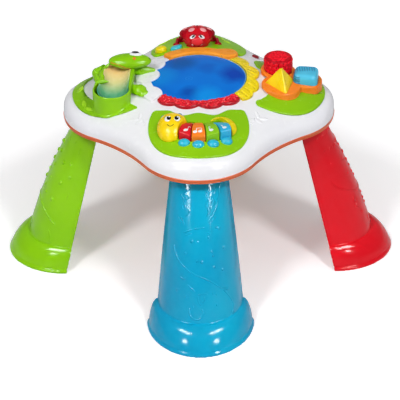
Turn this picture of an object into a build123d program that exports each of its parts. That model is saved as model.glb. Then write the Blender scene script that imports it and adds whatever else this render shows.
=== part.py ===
from build123d import *
import os
from math import atan2, cos, degrees, hypot, radians, sin, sqrt, tan

# Baby activity table: a domed, four-lobed play top on four channel legs.
# Millimetres, +Z up. The origin is on the floor, under the middle of the top.
# The front is -Y and the right-hand side is +X.

# Main sizes of the table
leg_height = 256.0
rim_depth = 5.0
crown_rise = 63.8
top_reach = 220.0
lobe_radius = 98.6
waist_reach = 173.5

# Shape of the crowned surface, per mm squared and per mm to the fourth
crown_fall = 7.38e-4
corner_fall = 8.0e-8
edge_round = 20.0

# Walls and general clearances
shell_wall = 3.0
leg_wall = 3.0
well_wall = 2.4
cup_wall = 3.0
seat_gap = 0.15
guide_gap = 0.5
mat_gap = 0.3
screw_gap = 0.05

# Legs: the open side faces inwards and lies on a sloping plane
leg_foot_reach = 222.7
leg_lean = 0.243
leg_half_foot = 71.5
leg_half_fall = 0.090
leg_half_bend = 8.0e-5
leg_bow_foot = 74.3
leg_bow_lean = 0.043
leg_bow_bend = 7.6e-4
collar_height = 40.0
collar_round = 5.0
collar_half = 80.0
collar_bow = 97.0
collar_flare = 4.0
lip_height = 5.0
lip_half = 86.5
lip_bow = 100.5
strip_width = 5.0
strip_proud = 0.9
plug_length = 40.0
plug_depth = 20.0
plug_height = 15.0
plug_reach = 177.0
plug_gap = 0.3

# Bottom shell
drum_radius = 148.0
drum_depth = 16.0
tongue_height = 5.0
tongue_width = 2.5

# Case screws
screw_shank = 1.5
screw_length = 14.0
screw_head = 3.4
screw_head_depth = 2.4
boss_radius = 4.5
waist_screw_reach = 152.0
tip_screw_reach = 207.0

# Screen
screen_radius = 77.0
screen_thick = 2.6
screen_ledge = 7.0
spigot_width = 2.6
lamp_board_drop = 15.0
lamp_board_thick = 1.6
lamp_count = 6
lamp_ring = 36.0
lamp_radius = 2.5
post_radius = 3.0
lamp_post_inset = 2.0

# White cloud shapes over the left side of the screen
cloud_lift = 4.6
cloud_outer = 93.0
cloud_limit = 101.6
cloud_round = 1.2
cloud_valley = 2.2
cloud_from, cloud_to = 128.0, 222.5
cloud_spots = [(-78.0, 48.0, 24.0), (-84.0, 8.0, 21.5), (-82.0, -52.0, 24.5)]

# Bands round the screen
band_gap = 0.6
red_lift = 5.0
red_from, red_to = -135.0, -44.6
red_petals = [-126.0, -104.0, -76.0, -54.0]
red_petal_ring = 71.5
red_petal_radius = 25.0
red_core = 86.0
yellow_lift = 5.0
yellow_from, yellow_to = -43.4, 49.4
yellow_petals = [-34.0, -17.0, 12.6, 40.0]
yellow_petal_ring = 76.3
yellow_petal_radius = 24.5
yellow_core = 88.0
orange_lift = 8.0
orange_from, orange_to = 50.6, 126.0
orange_core = 101.0
orange_end_turn = 61.5
orange_end_reach = 117.0
orange_neck = 13.0
orange_corner = 5.0

# Plates on the four lobes
plate_centre = 125.5
plate_radius = 79.5
plate_inner = 110.0
plate_wave = 3.5
plate_wave_turn = 26.0
plate_lift = 3.0
plate_round = 1.2
plate_corner = 7.0
window_place = (-119.0, 10.0)
window_radius = 68.0
window_right = -150.0
window_front = -36.0

# Worm keys: five dividing arcs, each from the back to the front
key_cuts = [
    ((-18.0, -127.5), (-28.0, -146.0), (-31.6, -165.0)),
    ((-6.6, -129.5), (-10.6, -152.0), (-11.8, -173.0)),
    ((5.6, -131.0), (9.8, -152.5), (11.3, -173.5)),
    ((19.0, -131.0), (28.6, -147.0), (33.2, -167.5)),
    ((32.5, -124.0), (46.8, -140.0), (51.2, -161.0)),
]
key_gap = 0.6
key_round = 0.9
key_front_gap = 0.6
key_roof = 2.4
key_wall = 2.0
key_skirt = 6.5
key_arch_rise = 12.5
key_arch_radius = 36.5
key_arch_place = -153.0
key_pivot_y = -141.0
key_pivot_drop = 12.0
key_hub_radius = 3.6
key_press = 3.5
rod_radius = 1.5
rod_gap = 0.05
rod_left, rod_right = -34.0, 53.0
lug_width = 5.0
stem_radius = 2.5
stem_y = -160.0
stem_places = [-20.5, -0.3, 21.0, 41.0]
foot_places = [(-22.5, -175.5), (-0.6, -181.0), (22.3, -178.0), (43.2, -168.0)]
foot_radius = 9.3
foot_rise = 8.0

# Worm's head, antennae and tail
head_place = (-43.0, -139.5)
head_half = (22.5, 29.5, 19.5)
antenna_places = [(-58.5, -117.0), (-29.0, -113.5)]
antenna_radius = 6.4
tail_place = (37.5, -139.5)
tail_radius = 22.5
tail_rise = 10.0

# Ladybug push figure on the back plate
bug_place = (-2.0, 127.0)
bug_skirt = (18.5, 17.5)
bug_body_half = (24.5, 23.0, 19.0)
bug_body_rise = 13.0
bug_wing_half = (29.8, 26.0, 11.5)
bug_wing_rise = 18.0
bug_wing_back = 3.0
bug_wing_split = 1.6
bug_face_cut = 12.0
bug_press = 3.0
bug_leg_radius = 3.2
bug_leg_turns = [12.0, 40.0, 140.0, 168.0]
bug_leg_ring = 35.5

# Small press buttons on the back plate
yellow_place = (-62.5, 111.0)
yellow_radius = 9.9
yellow_rise = 7.0
yellow_round = 6.0
leaf_place = (-37.0, 114.0)
leaf_half = 12.8
leaf_width = 7.2
leaf_turn = 44.0
leaf_tip = 2.5
leaf_rise = 4.0
button_press = 2.5
button_flange = 1.8
flange_thick = 1.6

# Circuit strips with rubber switch mats
board_thick = 1.6
mat_thick = 1.2
dome_height = 3.4
dome_radius = 4.5
key_board_level = 282.0
back_board_level = 272.0
back_board_place = (-30.0, 119.0)
back_board_size = (108.0, 30.0)

# Frog on the left plate
cup_place = (-138.5, -49.0)
cup_radius = 30.6
cup_rim = 330.5
cup_floor = 310.5
frog_back_place = (-129.7, 5.0)
frog_back_radius = 27.0
frog_back_slope = 0.20
slide_low = (-137.0, -50.0, 337.0)
slide_low_radius = 26.3
slide_high = (-129.7, 8.0, 352.5)
slide_high_radius = 24.3
slide_thick = 1.2
slide_gap = 0.15
frog_head_place = (-110.6, 15.0, 346.4)
frog_head_half = (34.6, 17.5, 11.2)
frog_eye_places = [(-118.0, 26.5, 351.0), (-103.0, 19.0, 354.0)]
frog_eye_half = (12.5, 8.0, 5.8)
left_arm = [(-152.0, 14.0, 331.0), (-163.0, 9.0, 327.5), (-161.5, -3.5, 324.0)]
left_arm_radii = [9.0, 9.5, 7.5]
right_arm = [(-108.0, 18.0, 329.0), (-94.0, 19.0, 327.5), (-73.5, 20.0, 326.5)]
right_arm_radii = [8.0, 9.3, 3.4]
frog_foot = [(-107.0, -28.0, 319.0), (-94.0, -35.5, 318.0), (-88.0, -44.0, 317.0)]
frog_foot_radii = [8.0, 11.5, 9.0]

# Shape sorter on the right plate; its rim plane leans a little
stump_lobes = [(130.2, 27.5, 28.8), (132.5, -20.0, 31.2), (172.7, 6.0, 27.6)]
stump_round = 5.0
stump_edge_round = 2.0
stump_level = 320.3
stump_level_place = (130.0, -5.0)
stump_rise_x = -0.10
stump_rise_y = 0.02
well_floor = 300.0
well_gap = 0.6
round_place = (129.5, 28.5)
round_radius = 22.3
round_top = 345.0
triangle_place = (132.6, -20.3)
triangle_side = 51.0
triangle_turn = 14.8
triangle_shoulder = 319.0
triangle_top = 349.5
triangle_round = 2.5
square_place = (174.0, 4.0)
square_side = 38.5
square_top = 332.0
square_corner = 9.0
square_turn = -8.0
block_edge_round = 2.4

# Slide switch on the rear right waist
switch_reach = 136.5
switch_length = 13.0
switch_width = 9.0
switch_lift = 4.0
switch_travel = 6.0
switch_neck = 3.0
bezel_margin = 2.5
bezel_lift = 1.2
switch_body_height = 8.0

# Battery compartment in the bottom shell
cell_radius = 7.25
cell_length = 50.5
cell_count = 3
cell_gap = 0.5
cell_place_y = -62.0
contact_thick = 0.8
bay_wall = 2.0
door_thick = 2.4
door_ledge = 2.0
door_gap = 0.3
door_tab = (14.0, 11.0)

# Sound and main circuit
speaker_place_y = 72.0
speaker_radius = 26.0
speaker_height = 14.0
speaker_magnet = 14.0
grille_hole = 2.0
grille_pitch = 7.0
main_board_size = (90.0, 46.0)
main_board_level = 262.0
main_board_y = 10.0
chip_size = (16.0, 16.0, 1.8)

# Values worked out from the sizes above
rim_top = leg_height + rim_depth
crown_height = rim_top + crown_rise
plate_bottom = leg_height
floor_level = leg_height - drum_depth
patch_half = top_reach + 20.0
prism_floor = leg_height - 30.0
prism_height = crown_rise + 120.0
lobe_centre = top_reach - lobe_radius
waist_step = waist_reach - lobe_radius
waist_centre = (lobe_centre**2 - waist_step**2) / (sqrt(2) * lobe_centre - 2 * waist_step)


def save(shape, name):
    export_step(shape, "parts/" + name + ".step")


def crown_z(x, y):
    """Height of the crowned surface above the floor."""
    return crown_height - crown_fall * (x * x + y * y) - corner_fall * x * x * y * y


def under(lift):
    """Everything below the crowned surface moved up by lift."""
    half = patch_half
    falls = [half * half, -half * half, half * half]
    steps = list(zip((-half, 0, half), falls))
    net = []
    for x, fall_x in steps:
        row = []
        for y, fall_y in steps:
            drop = crown_fall * (fall_x + fall_y) + corner_fall * fall_x * fall_y
            row.append(Vector(x, y, crown_height + lift - drop))
        net.append(row)
    return extrude(Face.make_bezier_surface(net), crown_height, dir=(0, 0, -1))


def prism(outline):
    return extrude(Pos(0, 0, prism_floor) * outline, prism_height)


def slab(outline, low, high):
    """Upright prism between two liftings of the crowned surface."""
    return (prism(outline) & under(high)) - under(low)


def upper_edges(solid, lift, tolerance=0.05):
    """Edges of a slab that lie on its upper surface."""
    found = []
    for edge in solid.edges():
        middle = edge.position_at(0.5)
        if abs(middle.Z - crown_z(middle.X, middle.Y) - lift) < tolerance:
            found.append(edge)
    return found


def largest(shape):
    """The biggest solid of a shape that may have fallen into several."""
    return sorted(shape.solids(), key=lambda solid: solid.volume)[-1]


def polar(reach, turn):
    return Vector(reach * cos(radians(turn)), reach * sin(radians(turn)))


def lobed_outline(inset):
    """Plan of the table top, moved inwards by inset."""
    waist_x = waist_centre / sqrt(2)
    away = hypot(waist_x - lobe_centre, waist_x)
    reach = lobe_radius - inset
    joint = Vector(lobe_centre + reach * (waist_x - lobe_centre) / away, reach * waist_x / away)
    mirror_joint = Vector(joint.X, -joint.Y)
    edges = []
    for turn in (0, 90, 180, 270):
        start = mirror_joint.rotate(Axis.Z, turn)
        tip = polar(top_reach - inset, turn)
        end = joint.rotate(Axis.Z, turn)
        waist = polar(waist_reach - inset, turn + 45)
        onward = mirror_joint.rotate(Axis.Z, turn + 90)
        edges.append(ThreePointArc(start, tip, end))
        edges.append(ThreePointArc(end, waist, onward))
    return make_face(edges)


def ring(outer, inner):
    return Circle(outer) - Circle(inner)


def sector(inner, outer, start, end):
    """Part of a ring between two angles."""
    middle = (start + end) / 2
    edges = [
        ThreePointArc(polar(outer, start), polar(outer, middle), polar(outer, end)),
        Line(polar(outer, end), polar(inner, end)),
        ThreePointArc(polar(inner, end), polar(inner, middle), polar(inner, start)),
        Line(polar(inner, start), polar(outer, start)),
    ]
    return make_face(edges)


def ellipsoid(place, half):
    return Pos(*place) * scale(Sphere(1), by=half)


def surface_frame(x, y, lift):
    """Frame on the crowned surface with its Z axis along the surface's normal."""
    slope_x = -2 * crown_fall * x - 2 * corner_fall * x * y * y
    slope_y = -2 * crown_fall * y - 2 * corner_fall * y * x * x
    origin = (x, y, crown_z(x, y) + lift)
    return Plane(origin=origin, x_dir=(1, 0, slope_x), z_dir=(-slope_x, -slope_y, 1)).location


def post(x, y, radius, low, lift):
    """Upright round post from a level up to the underside of the top shell."""
    return (Pos(x, y, low) * extrude(Circle(radius), crown_height)) & under(lift)


# Legs

def leg_open(level):
    return leg_foot_reach - leg_lean * level


def leg_half(level):
    return leg_half_foot - leg_half_fall * level - leg_half_bend * level * level


def leg_bow(level):
    return leg_bow_foot + leg_bow_lean * level - leg_bow_bend * level * level


def leg_section(level, half, bow, inner):
    """Half ellipse on the +X side; inner ones reach past the open plane."""
    start = leg_open(level)
    past = leg_wall * 4 if inner else 0.0
    bend = EllipticalCenterArc((start, 0), bow, half, start_angle=-90, arc_size=180)
    edges = [bend]
    if past:
        edges.append(Polyline((start, half), (start - past, half), (start - past, -half), (start, -half)))
    else:
        edges.append(Line((start, half), (start, -half)))
    return Pos(0, 0, level) * make_face(edges)


def leg_body(inset, low, high, inner):
    levels = [low, low + (high - low) * 0.33, low + (high - low) * 0.67, high]
    sections = [leg_section(v, leg_half(v) - inset, leg_bow(v) - inset, inner) for v in levels]
    return loft(sections)


def leg_collar(inset, inner):
    """Wider foot with a rounded shoulder."""
    low = -1.0 if inner else 0.0
    top = collar_height - inset
    stations = [
        (low, collar_half + collar_flare, collar_bow + collar_flare),
        (top - collar_round, collar_half, collar_bow),
        (top, collar_half - collar_round * 0.7, collar_bow - collar_round * 0.7),
    ]
    sections = [leg_section(v, half - inset, bow - inset, inner) for v, half, bow in stations]
    lower = loft(sections[:2], ruled=True)
    shoulder = loft(sections[1:], ruled=True)
    return lower + shoulder


def make_leg():
    outer = leg_body(0, 0.0, leg_height, False) + leg_collar(0, False)
    lip = extrude(leg_section(0, lip_half, lip_bow, False), lip_height)
    edge_zone = extrude(Plane.XZ * Polygon(
        (leg_open(0) - 1, 0), (leg_open(0) + strip_width, 0),
        (leg_open(leg_height) + strip_width, leg_height), (leg_open(leg_height) - 1, leg_height),
        align=None), lip_half, both=True)
    strip = leg_body(-strip_proud, 0.0, leg_height, False) & edge_zone
    outer = outer + lip + strip
    inner = leg_body(leg_wall, -1.0, leg_height - leg_wall, True) + leg_collar(leg_wall, True)
    leg = outer - inner
    plug = Pos(plug_reach, 0, leg_height) * Box(
        plug_depth, plug_length, plug_height, align=(Align.CENTER, Align.CENTER, Align.MIN))
    return leg + plug


# Shells

def domed_body(inset, floor):
    """Solid under the crowned surface with a rounded outer edge."""
    solid = extrude(Pos(0, 0, floor) * lobed_outline(inset), crown_rise * 2) & under(-inset)
    round_edges = []
    for edge in solid.edges():
        if edge.geom_type != GeomType.LINE and edge.bounding_box().min.Z > floor + edge_round / 4:
            round_edges.append(edge)
    return fillet(round_edges, edge_round - inset)


def case_screw_places():
    places = []
    for turn in (0, 90, 180, 270):
        places.append(polar(waist_screw_reach, turn + 45))
        places.append(polar(tip_screw_reach, turn))
    return places


def key_window():
    """Plan of the opening that the four keys share."""
    first, last = key_cuts[0], key_cuts[-1]
    back = [cut[0] for cut in key_cuts]
    front = [cut[2] for cut in key_cuts]
    edges = [ThreePointArc(*first), Polyline(*front)]
    edges.append(ThreePointArc(last[2], last[1], last[0]))
    edges.append(Polyline(*reversed(back)))
    return make_face(edges)


def bug_hole(extra):
    return Pos(*bug_place) * Ellipse(bug_skirt[0] + extra, bug_skirt[1] + extra)


def yellow_hole(extra):
    return Pos(*yellow_place) * Circle(yellow_radius + extra)


def leaf_outline(extra):
    """Pointed leaf: two arcs with rounded tips."""
    half, width = leaf_half + extra, leaf_width + extra
    edges = [ThreePointArc((-half, 0), (0, width), (half, 0)), ThreePointArc((half, 0), (0, -width), (-half, 0))]
    leaf = make_face(edges)
    leaf = fillet(leaf.vertices(), leaf_tip)
    return Pos(*leaf_place) * Rot(0, 0, leaf_turn) * leaf


def round_well(extra):
    return Pos(*round_place) * Circle(round_radius + extra)


def triangle_outline(extra):
    reach = triangle_side / sqrt(3) + 2 * extra
    corners = [polar(reach, triangle_turn + turn) for turn in (30, 150, 270)]
    face = make_face(Polyline(*corners, close=True))
    return Pos(*triangle_place) * fillet(face.vertices(), triangle_round + extra)


def square_outline(extra):
    side = square_side + 2 * extra
    return Pos(*square_place) * Rot(0, 0, square_turn) * RectangleRounded(side, side, square_corner + extra)


def wells(extra):
    return [round_well(extra), triangle_outline(extra), square_outline(extra)]


def switch_slot(length, width, shift):
    """Slot lying across the rear right waist."""
    return Rot(0, 0, 45) * Pos(switch_reach, shift) * Rot(0, 0, 90) * SlotOverall(length, width)


def make_top_shell():
    shell = domed_body(0, rim_top) - domed_body(shell_wall, rim_top - 1)
    shell -= prism(Circle(screen_radius - screen_ledge))
    shell -= prism(key_window())
    shell -= prism(bug_hole(guide_gap))
    shell -= prism(yellow_hole(guide_gap))
    shell -= prism(leaf_outline(guide_gap))
    for well in wells(well_gap + well_wall + guide_gap):
        shell -= prism(well)
    neck_length = switch_length + switch_travel
    shell -= prism(switch_slot(neck_length, switch_neck + 2 * guide_gap, 0))
    for place in case_screw_places():
        boss = post(place.X, place.Y, boss_radius, plate_bottom + shell_wall, -shell_wall / 2)
        bore = Pos(place.X, place.Y, plate_bottom) * extrude(Circle(screw_shank + screw_gap), screw_length + 3)
        shell = shell + (boss - bore)
    for turn in (60, 180, 300):
        spot = polar(screen_radius - lamp_post_inset, turn)
        shell += post(spot.X, spot.Y, post_radius, crown_height - lamp_board_drop, -shell_wall / 2)
    shell += rod_lug(rod_left) + rod_lug(rod_right)
    for x in (rod_left - 4, rod_right + 4):
        shell += post(x, stem_y, post_radius, key_board_level + board_thick, -shell_wall / 2)
    board_x, board_y = back_board_place
    for side in (-1, 1):
        x = board_x + side * (back_board_size[0] / 2 - 4)
        y = board_y - back_board_size[1] / 2 + 4
        shell += post(x, y, post_radius, back_board_level + board_thick, -shell_wall / 2)
    return shell


def make_bottom_shell():
    plate = extrude(Pos(0, 0, plate_bottom) * lobed_outline(0), rim_depth)
    plate = fillet(plate.edges().group_by(Axis.Z)[0], 1.2)
    plate -= extrude(Pos(0, 0, plate_bottom + shell_wall) * lobed_outline(shell_wall), rim_depth)
    tongue_outer = lobed_outline(shell_wall + seat_gap * 2)
    tongue_inner = lobed_outline(shell_wall + seat_gap * 2 + tongue_width)
    plate += extrude(Pos(0, 0, plate_bottom + 1) * (tongue_outer - tongue_inner), rim_depth + tongue_height - 1)
    drum = Pos(0, 0, floor_level) * extrude(Circle(drum_radius), drum_depth + 1)
    drum = fillet(drum.edges().group_by(Axis.Z)[0], 3.0)
    shell = plate + drum
    shell -= Pos(0, 0, floor_level + shell_wall) * extrude(Circle(drum_radius - shell_wall), drum_depth)
    for turn in (0, 90, 180, 270):
        socket = Box(plug_depth + 2 * plug_gap + 5, plug_length + 2 * plug_gap + 5, plug_height + shell_wall,
                     align=(Align.CENTER, Align.CENTER, Align.MIN))
        hole = Box(plug_depth + 2 * plug_gap, plug_length + 2 * plug_gap, plug_height + plug_gap,
                   align=(Align.CENTER, Align.CENTER, Align.MIN))
        place = Rot(0, 0, turn) * Pos(plug_reach, 0, plate_bottom)
        shell = shell + place * socket - place * hole
    for place in case_screw_places():
        shell -= Pos(place.X, place.Y, plate_bottom - 1) * extrude(Circle(screw_shank + 0.3), 10)
        shell -= Pos(place.X, place.Y, plate_bottom - 1) * extrude(Circle(screw_head + 0.3), 1 + 1.2)
    bay_x = cell_length + 2 * contact_thick + 2 * cell_gap
    bay_y = cell_count * 2 * cell_radius + (cell_count + 1) * cell_gap
    bay_top = floor_level + door_thick + 2 * cell_radius + 2 * cell_gap
    low_middle = (Align.CENTER, Align.CENTER, Align.MIN)
    shell += Pos(0, cell_place_y, floor_level) * Box(
        bay_x + 2 * bay_wall + 2 * door_ledge, bay_y + 2 * bay_wall + 2 * door_ledge,
        bay_top - floor_level + bay_wall, align=low_middle)
    shell -= Pos(0, cell_place_y, floor_level - 1) * Box(bay_x, bay_y, bay_top - floor_level + 1, align=low_middle)
    door_x, door_y = bay_x + 2 * door_ledge, bay_y + 2 * door_ledge
    tab_y = cell_place_y + door_y / 2
    shell += Pos(0, tab_y - door_ledge, floor_level) * Box(
        door_tab[0], door_tab[1] + 5, door_thick + 10, align=(Align.CENTER, Align.MIN, Align.MIN))
    shell -= Pos(0, cell_place_y, floor_level - 1) * Box(
        door_x + 2 * door_gap, door_y + 2 * door_gap, door_thick + 1, align=low_middle)
    shell -= Pos(0, tab_y + door_tab[1] / 2, floor_level - 1) * Box(
        door_tab[0] - 2 + 2 * door_gap, door_tab[1] + 2 * door_gap, door_thick + 1, align=low_middle)
    shell -= Pos(0, tab_y + door_tab[1] / 2, floor_level) * extrude(
        Circle(screw_shank + screw_gap), door_thick + 8)
    for row in range(-3, 4):
        for column in range(-3, 4):
            spot = Vector(column * grille_pitch, row * grille_pitch)
            if spot.length < speaker_radius - 6:
                shell -= Pos(spot.X, spot.Y + speaker_place_y, floor_level - 1) * extrude(Circle(grille_hole), 10)
    for x in (-1, 1):
        for y in (-1, 1):
            spot_x = x * (main_board_size[0] / 2 - 4)
            spot_y = main_board_y + y * (main_board_size[1] / 2 - 4)
            shell += Pos(spot_x, spot_y, floor_level + 1) * extrude(
                Circle(post_radius), main_board_level - floor_level - 1)
    return shell


# Screen and the trims round it

def cloud_outline(extra):
    last_x, last_y = cloud_spots[-1][:2]
    last_turn = 360 + degrees(atan2(last_y, last_x))
    outline = sector(screen_radius + band_gap - extra, cloud_outer + extra, cloud_from, last_turn)
    for x, y, radius in cloud_spots:
        outline += Pos(x, y) * Circle(radius + extra)
    outline -= sector(screen_radius / 2, top_reach, cloud_to, cloud_to + 30)
    outline &= Circle(cloud_limit + extra)
    return round_joints(outline, cloud_valley, cloud_valley)


def round_joints(outline, inward, outward=0.0):
    """Rounds the corners of an outline: inward ones, and outward ones if asked."""
    valleys, points = [], []
    for corner in outline.vertices():
        probe = Pos(corner.X, corner.Y) * Circle(1.0)
        share = (outline & probe).area / probe.area
        if share > 0.53:
            valleys.append((corner.X, corner.Y))
        elif share < 0.47:
            points.append((corner.X, corner.Y))
    for spots, radius in ((valleys, inward), (points, outward)):
        if radius and spots:
            chosen = [v for v in outline.vertices() if min(hypot(v.X - x, v.Y - y) for x, y in spots) < 0.01]
            outline = fillet(chosen, radius)
    return outline


def orange_outline(extra):
    """Even roll with a straight end on the left and a fat round end on the right."""
    inner = screen_radius + band_gap - extra
    turn = orange_end_turn
    root = polar(inner, turn)
    tip = polar((inner + orange_end_reach) / 2, orange_from - extra)
    bulge = polar(orange_end_reach + extra, turn)
    neck = polar(orange_core + extra, turn + orange_neck)
    last = orange_to + extra
    middle = (turn + orange_neck + last) / 2
    edges = [
        ThreePointArc(root, tip, bulge),
        Spline(bulge, neck, tangents=(polar(1, turn + 90), polar(1, turn + orange_neck + 90))),
        ThreePointArc(neck, polar(orange_core + extra, middle), polar(orange_core + extra, last)),
        Line(polar(orange_core + extra, last), polar(inner, last)),
        ThreePointArc(polar(inner, last), polar(inner, (turn + last) / 2), root),
    ]
    outline = make_face(edges)
    ends = [v for v in outline.vertices() if abs(degrees(atan2(v.Y, v.X)) - last) < 0.5]
    return fillet(ends, orange_corner)


def band_outline(colour, extra):
    inner = screen_radius + band_gap - extra
    if colour == "red":
        outline = sector(inner, red_core, red_from - extra, red_to + extra)
        for turn in red_petals:
            outline += Pos(polar(red_petal_ring, turn)) * Circle(red_petal_radius + extra)
        wedge = sector(inner, top_reach, red_from - extra, red_to + extra)
    elif colour == "yellow":
        outline = sector(inner, yellow_core, yellow_from, yellow_to)
        for turn in yellow_petals:
            outline += Pos(polar(yellow_petal_ring, turn)) * Circle(yellow_petal_radius)
        wedge = sector(inner, top_reach, yellow_from, yellow_to)
    else:
        return orange_outline(extra)
    return outline & wedge


def make_band(colour, lift, corner, rounding):
    outline = band_outline(colour, 0.0)
    if corner:
        outline = fillet(outline.vertices(), corner)
    band = slab(outline, seat_gap, lift)
    return fillet(upper_edges(band, lift), rounding)


def make_cloud():
    cloud = slab(cloud_outline(0), seat_gap, cloud_lift)
    return fillet(upper_edges(cloud, cloud_lift), cloud_round)


def make_screen_lens():
    lens = slab(Circle(screen_radius) - cloud_outline(0.3), seat_gap, screen_thick)
    hole = screen_radius - screen_ledge - guide_gap
    return lens + slab(ring(hole, hole - spigot_width), -shell_wall, seat_gap)


def make_lamp_board():
    level = crown_height - lamp_board_drop
    board = Pos(0, 0, level - lamp_board_thick) * extrude(Circle(screen_radius + 2), lamp_board_thick)
    for index in range(lamp_count):
        spot = polar(lamp_ring, index * 360 / lamp_count)
        board += Pos(spot.X, spot.Y, level) * extrude(Circle(lamp_radius), 3)
    return board


# Plates on the lobes

def wave_reach(turn):
    return plate_inner - plate_wave * cos(radians(turn * 360 / plate_wave_turn))


def plate_outline():
    """Plan of the right-hand plate: a disc with a wavy bite towards the middle."""
    disc = Pos(plate_centre, 0) * Circle(plate_radius)
    turns = [plate_wave_turn * step / 4 for step in range(-8, 9)]
    wave = Spline(*[polar(wave_reach(turn), turn) for turn in turns])
    bite = make_face([wave, Line(wave @ 1, (0, 0)), Line((0, 0), wave @ 0)])
    outline = disc - bite
    corners = [v for v in outline.vertices() if hypot(v.X, v.Y) < plate_centre]
    return fillet(corners, plate_corner)


def make_plate(turn, cut=None):
    outline = Rot(0, 0, turn) * plate_outline()
    plate = slab(outline, seat_gap, plate_lift)
    plate = fillet(upper_edges(plate, plate_lift), plate_round)
    if cut is not None:
        plate = largest(plate - prism(cut))
    return plate


def left_window():
    """Plan of the crescent gap beside the frog."""
    disc = Pos(*window_place) * Circle(window_radius)
    span = window_radius * 2
    keep = Pos(window_right - span / 2, window_front + span / 2) * Rectangle(span, span)
    window = disc & keep
    corners = [v for v in window.vertices() if v.Y < window_place[1]]
    return fillet(corners, 6.0)


# Worm and its keys

def key_outline(index):
    left, right = key_cuts[index], key_cuts[index + 1]
    left_front = Vector(*left[2]) + Vector(0, key_front_gap)
    right_front = Vector(*right[2]) + Vector(0, key_front_gap)
    edges = [
        ThreePointArc(left[0], left[1], left_front),
        Line(left_front, right_front),
        ThreePointArc(right_front, right[1], right[0]),
        Line(right[0], left[0]),
    ]
    return offset(make_face(edges), -key_gap, kind=Kind.INTERSECTION)


def key_arch(inset):
    """Long round-backed body that the keys are cut from."""
    frame = surface_frame(0, key_arch_place, key_arch_rise - key_arch_radius)
    return frame * Rot(0, 90, 0) * Cylinder(key_arch_radius - inset, 200)


def key_pivot_level():
    return crown_z(0, key_pivot_y) - key_pivot_drop


def stem_bottom():
    return key_board_level + board_thick + mat_thick + dome_height + mat_gap + stem_travel()


def stem_travel():
    return (key_pivot_y - stem_y) * tan(radians(key_press))


def make_key(index):
    outline = key_outline(index)
    floor = under(-key_skirt)
    key = (prism(outline) & key_arch(0)) - floor
    top_edges = []
    for edge in key.edges():
        middle = edge.position_at(0.5)
        if middle.Z - crown_z(middle.X, middle.Y) > key_arch_rise / 3:
            top_edges.append(edge)
    key = fillet(top_edges, key_round)
    hollow = prism(offset(outline, -key_wall, kind=Kind.INTERSECTION)) & key_arch(key_roof)
    key -= hollow
    inside = prism(outline)
    hub = Pos(0, key_pivot_y, key_pivot_level()) * Rot(0, 90, 0) * Cylinder(key_hub_radius, 200)
    web_height = key_pivot_drop + key_arch_rise
    web = Pos(0, key_pivot_y, key_pivot_level()) * Box(
        200, key_hub_radius, web_height, align=(Align.CENTER, Align.CENTER, Align.MIN))
    key += inside & (hub + web) & key_arch(key_roof / 2)
    key -= Pos(0, key_pivot_y, key_pivot_level()) * Rot(0, 90, 0) * Cylinder(rod_radius + rod_gap, 220)
    stem = Pos(stem_places[index], stem_y, stem_bottom()) * extrude(Circle(stem_radius), crown_height)
    key += stem & key_arch(key_roof / 2)
    return key


def rod_lug(x):
    """Carrier for one end of the key rod, hanging from the top shell."""
    level = key_pivot_level()
    lug = Pos(x, key_pivot_y, level) * Rot(0, 90, 0) * Cylinder(key_hub_radius + 0.6, lug_width)
    wall = Pos(x, key_pivot_y, level) * Box(
        lug_width, 2 * key_hub_radius, 40, align=(Align.CENTER, Align.CENTER, Align.MIN))
    lug += wall & under(-shell_wall / 2)
    return lug - Pos(x, key_pivot_y, level) * Rot(0, 90, 0) * Cylinder(rod_radius + rod_gap, 40)


def make_rod():
    length = rod_right - rod_left + lug_width
    middle = (rod_right + rod_left) / 2
    return Pos(middle, key_pivot_y, key_pivot_level()) * Rot(0, 90, 0) * Cylinder(rod_radius, length)


def make_mat(places, level):
    """Rubber strip with one hollow press dome under each plunger."""
    xs = [x for x, y in places]
    ys = [y for x, y in places]
    size_x = max(xs) - min(xs) + 4 * dome_radius
    size_y = max(ys) - min(ys) + 3 * dome_radius
    middle = ((max(xs) + min(xs)) / 2, (max(ys) + min(ys)) / 2)
    low_middle = (Align.CENTER, Align.CENTER, Align.MIN)
    mat = Pos(*middle, level) * Box(size_x, size_y, mat_thick, align=low_middle)
    for x, y in places:
        mat += Pos(x, y, level) * Cone(dome_radius, dome_radius * 0.6, mat_thick + dome_height, align=low_middle)
        mat -= Pos(x, y, level - 1) * Cone(dome_radius - 1, dome_radius * 0.4, mat_thick + dome_height, align=low_middle)
    return mat


def key_mat_places():
    return [(x, stem_y) for x in stem_places]


def make_key_board():
    length = rod_right - rod_left + 18
    middle = (rod_right + rod_left) / 2
    return Pos(middle, stem_y, key_board_level) * Box(
        length, 14, board_thick, align=(Align.CENTER, Align.CENTER, Align.MIN))


def make_head():
    frame = surface_frame(*head_place, plate_lift)
    head = frame * scale(Sphere(1), by=head_half)
    return head - under(plate_lift) - prism(offset(key_window(), key_gap * 2, kind=Kind.ARC))


def make_antennae():
    balls = []
    for x, y in antenna_places:
        ball = surface_frame(x, y, plate_lift + antenna_radius * 0.5) * Sphere(antenna_radius)
        balls.append(ball - under(plate_lift) - head_space())
    return Compound(children=balls)


def head_space():
    half = tuple(size + seat_gap for size in head_half)
    return surface_frame(*head_place, plate_lift) * scale(Sphere(1), by=half)


def make_tail():
    frame = surface_frame(*tail_place, plate_lift)
    tail = frame * scale(Sphere(1), by=(tail_radius, tail_radius, tail_rise))
    return tail - under(plate_lift) - prism(offset(key_window(), key_gap * 2, kind=Kind.ARC))


def make_feet():
    feet = []
    for x, y in foot_places:
        foot = surface_frame(x, y, plate_lift) * scale(Sphere(1), by=(foot_radius, foot_radius, foot_rise))
        foot = foot - under(plate_lift) - prism(offset(key_window(), key_gap * 2, kind=Kind.ARC))
        feet.append(foot)
    return Compound(children=feet)


# Ladybug and the small buttons

def bug_frame(rise, back=0.0):
    return surface_frame(*bug_place, plate_lift) * Pos(0, back, rise)


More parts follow.
